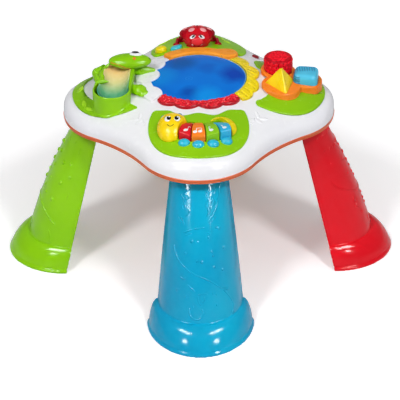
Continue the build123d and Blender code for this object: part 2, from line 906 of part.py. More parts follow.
def plunger(x, y, level):
    """Round plunger that ends above a mat dome by the travel and a gap."""
    return Pos(x, y, level) * extrude(Circle(stem_radius), crown_height)


def back_plunger_level(travel):
    return back_board_level + board_thick + mat_thick + dome_height + mat_gap + travel


def make_bug_body():
    body = bug_frame(bug_body_rise) * scale(Sphere(1), by=bug_body_half)
    body -= under(plate_lift + bug_press + 1.0)
    body += slab(bug_hole(0), -shell_wall - flange_thick - mat_gap, plate_lift + bug_press + 1.2)
    flange_top = -shell_wall - mat_gap
    body += slab(bug_hole(button_flange), flange_top - flange_thick, flange_top)
    rod = plunger(*bug_place, back_plunger_level(bug_press))
    body += rod & under(plate_lift)
    return body - wing_space(seat_gap)


def wing_space(extra):
    """Flat-bellied shell shape that the two wing cases share."""
    half = tuple(size + extra for size in bug_wing_half)
    cap = bug_frame(bug_wing_rise, bug_wing_back) * scale(Sphere(1), by=half)
    belly = bug_frame(bug_wing_rise - bug_wing_half[2] * 0.45 - extra)
    cap &= belly * Box(200, 200, 60, align=(Align.CENTER, Align.CENTER, Align.MIN))
    front = bug_frame(bug_wing_rise, -bug_face_cut - extra)
    return cap & (front * Rot(-28, 0, 0) * Box(200, 200, 200, align=(Align.CENTER, Align.MIN, Align.CENTER)))


def make_bug_wings():
    wings = wing_space(0)
    split = bug_frame(bug_wing_rise + bug_wing_half[2] * 0.2, bug_wing_back)
    return wings - split * Box(bug_wing_split, 200, 60, align=(Align.CENTER, Align.CENTER, Align.MIN))


def make_bug_legs():
    legs = []
    for turn in bug_leg_turns:
        spot = Vector(*bug_place) + polar(bug_leg_ring, turn)
        frame = surface_frame(spot.X, spot.Y, plate_lift) * Rot(0, 0, turn)
        leg = frame * scale(Sphere(1), by=(bug_leg_radius * 1.9, bug_leg_radius, bug_leg_radius * 1.2))
        legs.append(leg - under(plate_lift))
    return Compound(children=legs)


def make_yellow_button():
    x, y = yellow_place
    top = plate_lift + button_press + yellow_rise
    cap = slab(yellow_hole(0), -shell_wall - flange_thick - mat_gap, top)
    cap = fillet(upper_edges(cap, top), yellow_round)
    flange_top = -shell_wall - mat_gap
    flange = slab(yellow_hole(button_flange), flange_top - flange_thick, flange_top)
    rod = plunger(x, y, back_plunger_level(button_press)) & under(plate_lift)
    return cap + flange + rod


def make_leaf_button():
    top = plate_lift + button_press + leaf_rise
    cap = slab(leaf_outline(0), -shell_wall - flange_thick - mat_gap, top)
    cap = fillet(upper_edges(cap, top), 1.6)
    flange_top = -shell_wall - mat_gap
    flange = slab(leaf_outline(button_flange), flange_top - flange_thick, flange_top)
    rod = plunger(*leaf_place, back_plunger_level(button_press)) & under(plate_lift)
    return cap + flange + rod


def back_mat_places():
    return [bug_place, yellow_place, leaf_place]


def make_back_board():
    return Pos(*back_board_place, back_board_level) * Box(
        *back_board_size, board_thick, align=(Align.CENTER, Align.CENTER, Align.MIN))


# Frog

def ball_chain(places, radii):
    """Balls of given radii joined by cones: a limb."""
    limb = None
    for place, radius in zip(places, radii):
        ball = Pos(*place) * Sphere(radius)
        limb = ball if limb is None else limb + ball
    for index in range(len(places) - 1):
        start, end = Vector(*places[index]), Vector(*places[index + 1])
        axis = end - start
        low, high = radii[index], radii[index + 1]
        frame = Plane(origin=start, z_dir=axis).location
        link = frame * Cone(low * 0.97, high * 0.97, axis.length, align=(Align.CENTER, Align.CENTER, Align.MIN))
        limb += link
    return limb


def slide_path(inset):
    """Round-bottomed chute from the frog's chin into the cup."""
    return ball_chain([slide_low, slide_high], [slide_low_radius - inset, slide_high_radius - inset])


def frog_head_space(extra):
    half = tuple(size + extra for size in frog_head_half)
    return ellipsoid(frog_head_place, half)


def frog_back_top():
    """Leaning box whose underside is the upper limit of the frog's back."""
    angle = degrees(atan2(frog_back_slope, 1))
    return Pos(cup_place[0], cup_place[1], cup_rim) * Rot(angle, 0, 0) * Box(
        300, 300, 100, align=(Align.CENTER, Align.CENTER, Align.MIN))


def make_frog_body():
    cup = Pos(*cup_place, prism_floor) * extrude(Circle(cup_radius), cup_rim - prism_floor)
    cup = fillet(cup.edges().group_by(Axis.Z)[-1], 1.2)
    circles = (Pos(*cup_place) * Circle(cup_radius - 0.3)).edges()
    circles += (Pos(*frog_back_place) * Circle(frog_back_radius)).edges()
    back = prism(make_hull(circles)) - frog_back_top()
    back &= Pos(cup_place[0], cup_place[1], prism_floor) * Box(
        200, 200, 200, align=(Align.CENTER, Align.MIN, Align.MIN))
    body = cup + back
    body -= under(plate_lift + seat_gap)
    body -= Pos(*cup_place, cup_floor) * extrude(Circle(cup_radius - cup_wall), 60)
    body -= slide_path(-slide_gap)
    return body - frog_head_space(seat_gap)


def make_belly_slide():
    chute = slide_path(0) - slide_path(slide_thick)
    top_cut = Pos(0, 0, -1.2) * frog_back_top()
    chute -= top_cut
    limit = Pos(*cup_place, cup_floor + seat_gap) * extrude(Circle(cup_radius - cup_wall - seat_gap), 60)
    back = Pos(cup_place[0], cup_place[1], prism_floor) * Box(
        200, 200, 200, align=(Align.CENTER, Align.MIN, Align.MIN))
    flat_cut = Pos(*cup_place, cup_rim - 1.2) * Box(120, 120, 80, align=(Align.CENTER, Align.MAX, Align.MIN))
    chute = (chute & (limit + back)) - flat_cut
    return chute - frog_head_space(seat_gap) - under(plate_lift + seat_gap * 2)


def make_frog_eyes():
    back = prism(Pos(*frog_back_place) * Circle(frog_back_radius + seat_gap)) - frog_back_top()
    eyes = []
    for place in frog_eye_places:
        eye = ellipsoid(place, frog_eye_half) - frog_head_space(seat_gap)
        eyes.append(largest(eye - back))
    near_space = ellipsoid(frog_eye_places[1], tuple(size + seat_gap for size in frog_eye_half))
    eyes[0] = largest(eyes[0] - near_space)
    return Compound(children=eyes)


def make_limb(places, radii):
    limb = ball_chain(places, radii)
    circles = (Pos(*cup_place) * Circle(cup_radius + seat_gap)).edges()
    circles += (Pos(*frog_back_place) * Circle(frog_back_radius + seat_gap)).edges()
    limb = largest(limb - under(plate_lift + seat_gap))
    limb = largest(limb - slab(cloud_outline(seat_gap), 0.0, cloud_lift + seat_gap))
    return largest(limb - prism(make_hull(circles)))


# Shape sorter

def stump_top(extra):
    """Leaning box whose underside is the stump's rim plane."""
    x, y = stump_level_place
    frame = Plane(origin=(x, y, stump_level + extra), x_dir=(1, 0, stump_rise_x),
                  z_dir=(-stump_rise_x, -stump_rise_y, 1)).location
    return frame * Box(300, 300, 100, align=(Align.CENTER, Align.CENTER, Align.MIN))


def stump_block():
    """Three joined round columns with softened valleys between them."""
    block = None
    for x, y, radius in stump_lobes:
        column = prism(Pos(x, y) * Circle(radius))
        block = column if block is None else block + column
    valleys = []
    for edge in block.edges().filter_by(Axis.Z):
        spot = edge.center()
        near = [abs(hypot(spot.X - x, spot.Y - y) - radius) < 0.01 for x, y, radius in stump_lobes]
        if sum(near) > 1:
            valleys.append(edge)
    return fillet(valleys, stump_round)


def make_stump():
    stump = stump_block() - stump_top(0)
    top_face = stump.faces().sort_by(Axis.Z)[-1]
    stump = fillet(top_face.edges(), stump_edge_round)
    stump -= under(seat_gap)
    over_plate = ring(top_reach, plate_inner - plate_wave - seat_gap * 2)
    stump -= slab(over_plate, 0.0, plate_lift + seat_gap)
    low = well_floor - well_wall
    for outline in wells(well_gap + well_wall):
        stump += extrude(Pos(0, 0, low) * outline, crown_z(*stump_level_place) - low - 2)
    for outline in wells(well_gap):
        stump -= extrude(Pos(0, 0, well_floor) * outline, 80)
    return stump


def make_round_block():
    block = Pos(*round_place, well_floor + mat_gap) * extrude(Circle(round_radius), round_top - well_floor - mat_gap)
    return fillet(block.edges().group_by(Axis.Z)[-1], block_edge_round)


def make_triangle_block():
    base = extrude(Pos(0, 0, well_floor + mat_gap) * triangle_outline(0), triangle_shoulder - well_floor - mat_gap)
    foot = Pos(0, 0, triangle_shoulder) * triangle_outline(0)
    rise = triangle_top - triangle_shoulder
    small = Pos(*triangle_place, 0) * scale(Pos(-triangle_place[0], -triangle_place[1], 0) * triangle_outline(0), 0.09)
    cap = loft([foot, Pos(0, 0, triangle_top - 0.02 * rise) * small], ruled=True)
    return base + cap


def make_square_block():
    block = extrude(Pos(0, 0, well_floor + mat_gap) * square_outline(0), square_top - well_floor - mat_gap)
    return fillet(block.edges().group_by(Axis.Z)[-1], 7.0)


# Switch

def make_switch_bezel():
    outer = switch_slot(switch_length + switch_travel + 2 * bezel_margin, switch_width + 2 * bezel_margin, 0)
    slot = switch_slot(switch_length + switch_travel, switch_neck + 2 * guide_gap, 0)
    bezel = slab(outer, seat_gap, bezel_lift)
    bezel = fillet(upper_edges(bezel, bezel_lift), 0.6)
    return bezel - prism(slot)


def make_switch_knob():
    shift = switch_travel / 2
    grip = slab(switch_slot(switch_length - 1, switch_width, shift), bezel_lift + 0.4, bezel_lift + switch_lift)
    grip = fillet(upper_edges(grip, bezel_lift + switch_lift), 1.6)
    low = -shell_wall - 6
    neck = slab(switch_slot(switch_length - 2, switch_neck, shift), low, bezel_lift + 1.5)
    return grip + neck


def make_switch_body():
    """Closed switch hung under the shell, with a slot for the knob's neck."""
    place = Rot(0, 0, 45) * Pos(switch_reach, 0, 0)
    x_size, y_size = 12.0, switch_length + switch_travel + 8
    top = -shell_wall - 0.3
    outline = place * Rectangle(x_size, y_size)
    body = slab(outline, top - switch_body_height, top)
    slot = switch_slot(switch_length + switch_travel, switch_neck + 2 * guide_gap, 0)
    return body - slab(slot, top - 6.5, 0)


# Power, sound and circuit

def bay_size():
    bay_x = cell_length + 2 * contact_thick + 2 * cell_gap
    bay_y = cell_count * 2 * cell_radius + (cell_count + 1) * cell_gap
    return bay_x, bay_y


def cell_rows():
    pitch = 2 * cell_radius + cell_gap
    return [cell_place_y + (index - (cell_count - 1) / 2) * pitch for index in range(cell_count)]


def cell_level():
    return floor_level + door_thick + cell_gap + cell_radius


def make_cells():
    cells = []
    for index, y in enumerate(cell_rows()):
        cell = Rot(0, 90, 0) * Cylinder(cell_radius, cell_length - 1.5)
        nub = Pos((cell_length - 1.5) / 2, 0, 0) * Rot(0, 90, 0) * Cylinder(2.6, 3)
        side = 1 if index % 2 == 0 else -1
        cells.append(Pos(-0.75 * side, y, cell_level()) * Rot(0, 0, 0 if side == 1 else 180) * (cell + nub))
    return Compound(children=cells)


def make_contacts():
    plates = []
    bay_x, bay_y = bay_size()
    for side in (-1, 1):
        for y in cell_rows():
            x = side * (bay_x / 2 - contact_thick / 2)
            plates.append(Pos(x, y, cell_level()) * Box(contact_thick, 10, 10))
    return Compound(children=plates)


def make_door():
    bay_x, bay_y = bay_size()
    low_middle = (Align.CENTER, Align.CENTER, Align.MIN)
    door_x, door_y = bay_x + 2 * door_ledge, bay_y + 2 * door_ledge
    door = Pos(0, cell_place_y, floor_level) * Box(door_x, door_y, door_thick - 0.1, align=low_middle)
    tab_y = cell_place_y + door_y / 2 + door_tab[1] / 2
    door += Pos(0, tab_y, floor_level) * Box(door_tab[0] - 2, door_tab[1], door_thick - 0.1, align=low_middle)
    door -= Pos(0, tab_y, floor_level - 1) * extrude(Circle(screw_shank + 0.3), 5)
    return door - Pos(0, tab_y, floor_level - 1) * extrude(Circle(2.8 + 0.2), 2.2)


def make_screw(head_radius, head_depth, length):
    """Pan-head screw, head down at level 0, shank upwards, with a cross recess."""
    screw = extrude(Circle(head_radius), head_depth)
    screw = fillet(screw.edges().group_by(Axis.Z)[0], 0.5)
    screw += Pos(0, 0, head_depth) * extrude(Circle(screw_shank), length)
    for turn in (0, 90):
        screw -= Rot(0, 0, turn) * Box(head_radius * 1.2, 0.8, 2 * 0.9)
    return screw


def make_door_screw():
    bay_x, bay_y = bay_size()
    tab_y = cell_place_y + bay_y / 2 + door_ledge + door_tab[1] / 2
    return Pos(0, tab_y, floor_level) * make_screw(2.8, 1.1, 8.0)


def make_case_screws():
    screws = []
    for place in case_screw_places():
        level = plate_bottom + 1.2 - screw_head_depth
        screws.append(Pos(place.X, place.Y, level) * make_screw(screw_head, screw_head_depth, screw_length - 3))
    return Compound(children=screws)


def make_speaker():
    level = floor_level + shell_wall
    rim = Pos(0, speaker_place_y, level) * extrude(Circle(speaker_radius), 2.5)
    cone = Pos(0, speaker_place_y, level + 2.5) * Cone(
        speaker_radius - 3, speaker_magnet, speaker_height / 2 - 2.5, align=(Align.CENTER, Align.CENTER, Align.MIN))
    magnet = Pos(0, speaker_place_y, level + speaker_height / 2) * extrude(Circle(speaker_magnet), speaker_height / 2)
    return rim + cone + magnet


def make_main_board():
    low_middle = (Align.CENTER, Align.CENTER, Align.MIN)
    board = Pos(0, main_board_y, main_board_level) * Box(*main_board_size, board_thick, align=low_middle)
    board += Pos(12, main_board_y, main_board_level + board_thick) * Box(*chip_size, align=low_middle)
    board += Pos(-22, main_board_y + 8, main_board_level + board_thick) * Cylinder(4, 9, align=low_middle)
    return board + Pos(-22, main_board_y - 8, main_board_level + board_thick) * Cylinder(3, 7, align=low_middle)


# Writing the pieces out

os.makedirs("parts", exist_ok=True)

save(make_top_shell(), "top_shell")
save(make_bottom_shell(), "bottom_shell")

leg = make_leg()
for name, turn in (("right", 0), ("back", 90), ("left", 180), ("front", 270)):
    save(Rot(0, 0, turn) * leg, "leg_" + name)

save(make_screen_lens(), "screen_lens")
save(make_lamp_board(), "lamp_board")
save(make_cloud(), "cloud_trim")
save(make_band("red", red_lift, 2.0, 1.8), "band_red")
save(make_band("yellow", yellow_lift, 2.0, 1.8), "band_yellow")
save(make_band("orange", orange_lift, 0.0, 3.5), "band_orange")

back_holes = bug_hole(guide_gap) + yellow_hole(guide_gap) + leaf_outline(guide_gap)
back_holes += band_outline("orange", seat_gap * 2)
well_holes = None
for well in wells(well_gap + well_wall + guide_gap):
    well_holes = well if well_holes is None else well_holes + well
save(make_plate(0, well_holes), "plate_right")
save(make_plate(90, back_holes), "plate_back")
save(make_plate(180, left_window()), "plate_left")
save(make_plate(270, key_window()), "plate_front")

for index, colour in enumerate(("red", "orange", "green", "blue")):
    save(make_key(index), "key_" + colour)
save(make_rod(), "key_rod")
save(make_key_board(), "key_board")
save(make_mat(key_mat_places(), key_board_level + board_thick), "key_mat")
save(make_head(), "worm_head")
save(make_antennae(), "worm_antennae")
save(make_tail(), "worm_tail")
save(make_feet(), "worm_feet")

save(make_bug_body(), "ladybug_body")
save(make_bug_wings(), "ladybug_wings")
save(make_bug_legs(), "ladybug_legs")
save(make_yellow_button(), "button_yellow")
save(make_leaf_button(), "button_leaf")
save(make_back_board(), "back_board")
save(make_mat(back_mat_places(), back_board_level + board_thick), "back_mat")

save(make_frog_body(), "frog_body")
save(make_belly_slide(), "belly_slide")
save(frog_head_space(0), "frog_head")
save(make_frog_eyes(), "frog_eyes")
save(largest(make_limb(left_arm, left_arm_radii) - frog_head_space(seat_gap)), "frog_arm_left")
save(largest(make_limb(right_arm, right_arm_radii) - frog_head_space(seat_gap)), "frog_arm_right")
save(make_limb(frog_foot, frog_foot_radii), "frog_foot")

save(make_stump(), "sorter_stump")
save(make_round_block(), "block_round")
save(make_triangle_block(), "block_triangle")
save(make_square_block(), "block_square")

save(make_switch_bezel(), "switch_bezel")
save(make_switch_knob(), "switch_knob")
save(make_switch_body(), "switch_body")

save(make_cells(), "batteries")
save(make_contacts(), "battery_contacts")
save(make_door(), "battery_door")
save(make_door_screw(), "door_screw")
save(make_case_screws(), "case_screws")
save(make_speaker(), "speaker")
save(make_main_board(), "main_board")
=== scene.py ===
import math
import random
import bpy
from mathutils import Matrix, Vector
from mathutils.bvhtree import BVHTree


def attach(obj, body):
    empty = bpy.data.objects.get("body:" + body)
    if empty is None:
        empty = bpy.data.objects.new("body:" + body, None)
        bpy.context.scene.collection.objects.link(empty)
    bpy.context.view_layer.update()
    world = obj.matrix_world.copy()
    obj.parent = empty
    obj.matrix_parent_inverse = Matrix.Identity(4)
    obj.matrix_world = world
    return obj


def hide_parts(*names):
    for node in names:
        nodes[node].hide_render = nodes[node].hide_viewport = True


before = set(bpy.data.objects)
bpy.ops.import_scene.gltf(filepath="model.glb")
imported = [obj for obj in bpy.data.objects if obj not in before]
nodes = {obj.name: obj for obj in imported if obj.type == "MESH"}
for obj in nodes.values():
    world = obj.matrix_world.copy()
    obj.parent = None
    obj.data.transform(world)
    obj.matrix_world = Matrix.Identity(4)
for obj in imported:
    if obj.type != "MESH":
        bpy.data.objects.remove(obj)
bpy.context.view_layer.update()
mm = 0.001
print("frame loaded:", len(nodes), "nodes")


class Wire:
    # one socket of a material; sums on it add Math nodes
    def __init__(self, tree, socket=None):
        self.tree = tree
        self.socket = socket

    def node(self, kind, settings=None, inputs=None, out=0):
        made = self.tree.nodes.new(kind)
        for key, value in (settings or {}).items():
            if key == "stops":
                fillRamp(made.color_ramp, value)
            else:
                setattr(made, key, value)
        for key, value in (inputs or {}).items():
            if isinstance(value, Wire):
                self.tree.links.new(value.socket, made.inputs[key])
            elif value is not None:
                made.inputs[key].default_value = value
        return Wire(self.tree, made.outputs[out])

    def math(self, operation, first, second=None, clamp=False):
        return self.node("ShaderNodeMath", {"operation": operation, "use_clamp": clamp}, {0: first, 1: second})

    def __add__(self, other):
        return self.math("ADD", self, other)

    def __sub__(self, other):
        return self.math("SUBTRACT", self, other)

    def __rsub__(self, other):
        return self.math("SUBTRACT", other, self)

    def __mul__(self, other):
        return self.math("MULTIPLY", self, other)

    __radd__ = __add__
    __rmul__ = __mul__

    def spread(self, low, high, toLow=0.0, toHigh=1.0):
        # from low..high to toLow..toHigh, held at both ends
        return self.node("ShaderNodeMapRange", {"clamp": True},
                         {0: self, 1: low, 2: high, 3: toLow, 4: toHigh})

    def mix(self, first, second, how="MIX"):
        # this value is the factor between two colours
        return self.node("ShaderNodeMix", {"data_type": "RGBA", "blend_type": how},
                         {0: self, 6: first, 7: second}, out=2)


def fillRamp(ramp, stops):
    while len(ramp.elements) < len(stops):
        ramp.elements.new(1.0)
    for element, (place, shade) in zip(ramp.elements, stops):
        element.position = place
        element.color = colour(shade)


def colour(code):
    # "rrggbb" as seen on screen, to the linear colour that Blender works in
    parts = [int(code[i:i + 2], 16) / 255 for i in (0, 2, 4)]
    line = [part / 12.92 if part <= 0.04045 else ((part + 0.055) / 1.055) ** 2.4 for part in parts]
    return (*line, 1.0)


def newMaterial(name):
    # a material with its shader, and the place on the piece that patterns follow
    made = bpy.data.materials.new(name)
    made.use_nodes = True
    tree = made.node_tree
    tree.nodes.clear()
    output = tree.nodes.new("ShaderNodeOutputMaterial")
    shader = tree.nodes.new("ShaderNodeBsdfPrincipled")
    tree.links.new(shader.outputs[0], output.inputs[0])
    return made, shader, Wire(tree).node("ShaderNodeTexCoord", out="Object")


def feed(shader, name, value):
    if isinstance(value, Wire):
        value.tree.links.new(value.socket, shader.inputs[name])
    else:
        shader.inputs[name].default_value = value


def noise(place, scale, detail=2.0, rough=0.5, warp=0.0):
    return place.node("ShaderNodeTexNoise", {"noise_dimensions": "3D"},
                      {"Vector": place, "Scale": scale, "Detail": detail, "Roughness": rough,
                       "Distortion": warp})


def speckle(place, scale):
    return place.node("ShaderNodeTexVoronoi", {"feature": "F1"}, {"Vector": place, "Scale": scale},
                      out="Distance")


def bump(height, depth, strength=1.0):
    return height.node("ShaderNodeBump", {}, {"Height": height, "Strength": strength, "Distance": depth})


gloss = {"plastic": 0.22, "back": 0.05, "screen": 0.08}
plasticLook = {
    "driftScale": 7.0, "mottleScale": 95.0, "mottleAmount": 0.10, "peelScale": 420.0, "speckScale": 1500.0,
    "speckAmount": 0.12, "grain": 0.00006, "peelStrength": 0.8, "smoother": 0.03, "rougher": 0.05,
}


def plasticFinish(name, base, dark, light, rough, shine="plastic"):
    # moulded toy plastic: slow drift of shade, faint flow mottling, a skin like orange peel
    look = plasticLook
    made, shader, place = newMaterial(name)
    drift = noise(place, look["driftScale"], 2.0).spread(0.35, 0.65)
    mottle = noise(place, look["mottleScale"], 4.0, 0.6, 0.4).spread(0.3, 0.7)
    shade = drift.mix(colour(dark), colour(base))
    feed(shader, "Base Color", (mottle * look["mottleAmount"]).mix(shade, colour(light)))
    feed(shader, "Roughness", mottle.spread(0.0, 1.0, rough - look["smoother"], rough + look["rougher"]))
    peel = noise(place, look["peelScale"], 2.0) + speckle(place, look["speckScale"]) * look["speckAmount"]
    feed(shader, "Normal", bump(peel, look["grain"], look["peelStrength"]))
    feed(shader, "Specular IOR Level", gloss[shine])
    return made


def dress(name, finish):
    # a CAD node keeps its mesh and only gets another material
    slots = nodes[name].material_slots
    for slot in slots:
        slot.material = finishes[finish]
    if not slots:
        nodes[name].data.materials.append(finishes[finish])


# shade, its darker drift, its pale mottling, roughness and which gloss
plastics = {
    "whiteGloss": ("f1f1f4", "e9e9ef", "ffffff", 0.24),
    "cloudGloss": ("f5f5f9", "eaeaf1", "ffffff", 0.28),
    "rimOrange": ("dd6a3c", "cf5c32", "e8794a", 0.32),
    "legBlue": ("02add4", "0299c6", "34c2e4", 0.13),
    "legGreen": ("93d506", "84c804", "a8e22c", 0.13),
    "legRed": ("e90d20", "db081b", "f2303c", 0.13),
    "legYellow": ("f4cf12", "ecc208", "fbde3c", 0.13),
    "plateLimeBack": ("93d204", "84c404", "aee028", 0.3, "back"),
    "plateLime": ("8fcb06", "80bd04", "a6dc20", 0.24),
    "frogGreen": ("93d108", "84c604", "a8e01c", 0.22),
    "bandRed": ("ec2032", "da1020", "ff4850", 0.16),
    # a darker copy of the band's red for the band under its pebbles: painted shade in the cracks between them
    "bandRedDeep": ("c00c1e", "ac0618", "d42034", 0.24),
    "bandYellow": ("f5dc10", "ecd008", "fdea40", 0.26),
    "rollOrange": ("ffaa38", "fd9826", "ffc468", 0.28, "back"),
    "keyRed": ("de0e1e", "c8081a", "ee3440", 0.2),
    "keyOrange": ("ff8624", "f67a18", "ff9c4c", 0.2),
    "keyGreen": ("8fcc1c", "82c012", "a4dc40", 0.2),
    "keyBlue": ("30b6e2", "22a6d6", "5cc8ec", 0.2),
    "footBlue": ("2cbcdc", "1ea8cc", "5ed4ec", 0.18),
    "headYellow": ("ffdc04", "fdcc04", "ffe63c", 0.26),
    "feelerBlue": ("4a9cc4", "3c8ab4", "70b4d4", 0.2),
    "bugRed": ("e00a22", "c80218", "f02838", 0.18),
    "wingRed": ("b2061c", "980214", "c82030", 0.2, "back"),
    "buttonYellow": ("f4dc04", "ead004", "faea3c", 0.26),
    "leafBlue": ("3ccfe2", "2cbcd4", "6ce0ee", 0.2),
    "stumpOrange": ("ff8a24", "f67c18", "ffa04c", 0.28),
    "blockRed": ("f2182c", "e00c20", "ff4450", 0.2, "back"),
    # a darker copy of the round block's red for the block under its bumps: painted shade between them
    "blockRedDeep": ("c00a1c", "a80616", "d42434", 0.3, "back"),
    "blockYellow": ("fde008", "f6d404", "ffec44", 0.28),
    "blockBlue": ("55c8ea", "44b8de", "7cdaf2", 0.22),
    # darker blue for strips in the square block's grooves: painted shade
    "blockBlueDeep": ("2c96c4", "2286b4", "48aad4", 0.3),
    "switchRed": ("8e0f22", "78081a", "a82c3c", 0.3),
    "eyeWhite": ("f8f8fa", "eeeef2", "ffffff", 0.16),
    "spotPink": ("f8a8ac", "f09aa0", "ffc0c2", 0.22),
    "muzzleRed": ("ee3a44", "e02c38", "fa5c60", 0.22),
    "cheekOrange": ("f08c2c", "e87c20", "f8a850", 0.24),
    # dark green for the frog's small head notches: painted shade
    "stemGreen": ("4c8a08", "407a06", "64a41c", 0.26),
    "leafLime": ("b4e62c", "a4dc1c", "c8f054", 0.22),
    "beadBlue": ("7cc4ec", "68b6e4", "a4daf6", 0.16),
    # dark line along the screen's edge by the yellow band: painted shadow of the band's inner wall
    "seamGreen": ("14645a", "0e564c", "2c7c70", 0.24),
    "doorOrange": ("d4623a", "c4552f", "de7244", 0.36),
    "blackPaint": ("141416", "0c0c0e", "26262a", 0.2),
}
finishes = {name: plasticFinish(name, *row) for name, row in plastics.items()}

# metres on the cover, the reach of each pool, its shade and how much of it shows
screenLook = {
    "shades": ("0468d0", "067ae0"), "ripple": (-0.0153, -0.010, 0.326), "rippleShade": "3caaf0",
    "pools": [((-0.020, 0.066, 0.322), 0.032, "0c58a4", 0.8), ((0.066, 0.024, 0.320), 0.034, "0442b4", 0.95),
              ((-0.008, -0.036, 0.322), 0.022, "044cb0", 0.85), ((-0.055, 0.020, 0.322), 0.038, "0a8ee4", 0.7),
              ((0.022, -0.044, 0.320), 0.032, "0c98ec", 0.75), ((0.022, 0.042, 0.324), 0.022, "045cc4", 0.6)],
}


def distance(place, spot):
    return place.node("ShaderNodeVectorMath", {"operation": "DISTANCE"}, {0: place, 1: spot}, out="Value")


def screenFinish():
    # clear blue cover over a painted pool: soft darker and paler pools, one small ripple ring
    made, shader, place = newMaterial("screenBlue")
    wobble = place.node("ShaderNodeVectorMath", {"operation": "SCALE"},
                        {0: (0.014, 0.034, 0.0), "Scale": noise(place, 34.0, 3.0)})
    warped = place.node("ShaderNodeVectorMath", {"operation": "ADD"}, {0: place, 1: wobble})
    deep, pale = (colour(code) for code in screenLook["shades"])
    shade = noise(place, 11.0, 2.0, 0.5, 0.6).spread(0.35, 0.65).mix(deep, pale)
    for spot, reach, code, amount in screenLook["pools"]:
        inside = distance(warped, spot).spread(reach * 0.35, reach, 1.0, 0.0)
        shade = (inside * amount).mix(shade, colour(code))
    centre = distance(place, screenLook["ripple"])
    ring = centre.math("SINE", centre * 1400.0).spread(0.2, 1.0) * centre.spread(0.006, 0.011, 0.22, 0.0)
    feed(shader, "Base Color", ring.mix(shade, colour(screenLook["rippleShade"])))
    feed(shader, "Roughness", noise(place, 40.0, 2.0).spread(0.3, 0.7, 0.12, 0.2))
    feed(shader, "Normal", bump(noise(place, 60.0, 2.0, 0.5, 0.6), 0.0004, 0.35))
    feed(shader, "Specular IOR Level", gloss["screen"])
    return made


slideLook = {
    "low": -0.062, "high": 0.024,
    # the first, darkest stops are the cup's teal darkened with painted shade
    "stops": [(0.0, "069470"), (0.12, "0c9268"), (0.26, "54a876"), (0.42, "a6c488"), (0.56, "dcd694"),
              (0.72, "f2d490"), (0.86, "fac67e"), (1.0, "fbb468")],
}


def slideFinish():
    # chute painted from teal in the cup through green and sand to peach at its upper end; the teal is darkened
    # at the cup's bottom as painted shade of the cup's front wall
    made, shader, place = newMaterial("slidePaint")
    part = place.node("ShaderNodeSeparateXYZ", {}, {0: place}, out="Y")
    wobble = noise(place, 30.0, 2.0).spread(0.3, 0.7, -0.002, 0.002)
    along = (part + wobble).spread(slideLook["low"], slideLook["high"])
    shade = along.node("ShaderNodeValToRGB", {"stops": slideLook["stops"]}, {"Fac": along})
    feed(shader, "Base Color", (noise(place, 120.0, 3.0).spread(0.3, 0.7) * 0.08).mix(shade, colour("ffffff")))
    feed(shader, "Roughness", noise(place, 80.0, 3.0).spread(0.3, 0.7, 0.2, 0.3))
    feed(shader, "Normal", bump(noise(place, 420.0, 2.0), 0.00006, 0.8))
    feed(shader, "Specular IOR Level", gloss["plastic"])
    return made


def matFinish(name, dark, pale, drift, rough, skin):
    # one colour that drifts to a paler one, a roughness that varies between two values, a fine skin
    made, shader, place = newMaterial(name)
    shade = noise(place, *drift).spread(0.3, 0.7).mix(colour(dark), colour(pale))
    feed(shader, "Base Color", shade)
    scale, smoothest, roughest = rough
    feed(shader, "Roughness", noise(place, scale, 3.0).spread(0.3, 0.7, smoothest, roughest))
    scale, depth, strength = skin
    feed(shader, "Normal", bump(noise(place, scale, 2.0), depth, strength))
    return made


def boardFinish():
    made, shader, place = newMaterial("boardGreen")
    shades = {"Color1": colour("0c5a34"), "Color2": colour("0a5230"), "Mortar": colour("2a8a56")}
    sizes = {"Vector": place, "Scale": 140.0, "Mortar Size": 0.03}
    weave = place.node("ShaderNodeTexBrick", {}, {**sizes, **shades}, out="Color")
    feed(shader, "Base Color", (noise(place, 50.0, 3.0) * 0.3).mix(weave, colour("08482a")))
    feed(shader, "Roughness", noise(place, 200.0, 2.0).spread(0.3, 0.7, 0.35, 0.5))
    feed(shader, "Normal", bump(noise(place, 500.0, 2.0), 0.0001, 0.5))
    return made


def steelFinish(name, base, worn):
    made, shader, place = newMaterial(name)
    along = place.node("ShaderNodeMapping", {}, {"Vector": place, "Scale": (900.0, 900.0, 30.0)})
    brushed = noise(along, 1.0, 3.0)
    feed(shader, "Base Color", noise(place, 60.0, 3.0).spread(0.35, 0.7).mix(colour(base), colour(worn)))
    feed(shader, "Metallic", 1.0)
    feed(shader, "Roughness", brushed.spread(0.3, 0.7, 0.26, 0.42))
    feed(shader, "Normal", bump(brushed, 0.00005, 0.5))
    return made


for made in (
        boardFinish(), steelFinish("steelBright", "b8bac0", "9a9ca2"), screenFinish(), slideFinish(),
        matFinish("rubberGrey", "6e7076", "82858c", (60.0, 3.0), (90.0, 0.6, 0.78), (700.0, 0.0001, 0.6)),
        matFinish("cellJacket", "1e2024", "34363c", (40.0, 2.0), (150.0, 0.25, 0.4), (500.0, 0.00005, 0.5))):
    finishes[made.name] = made

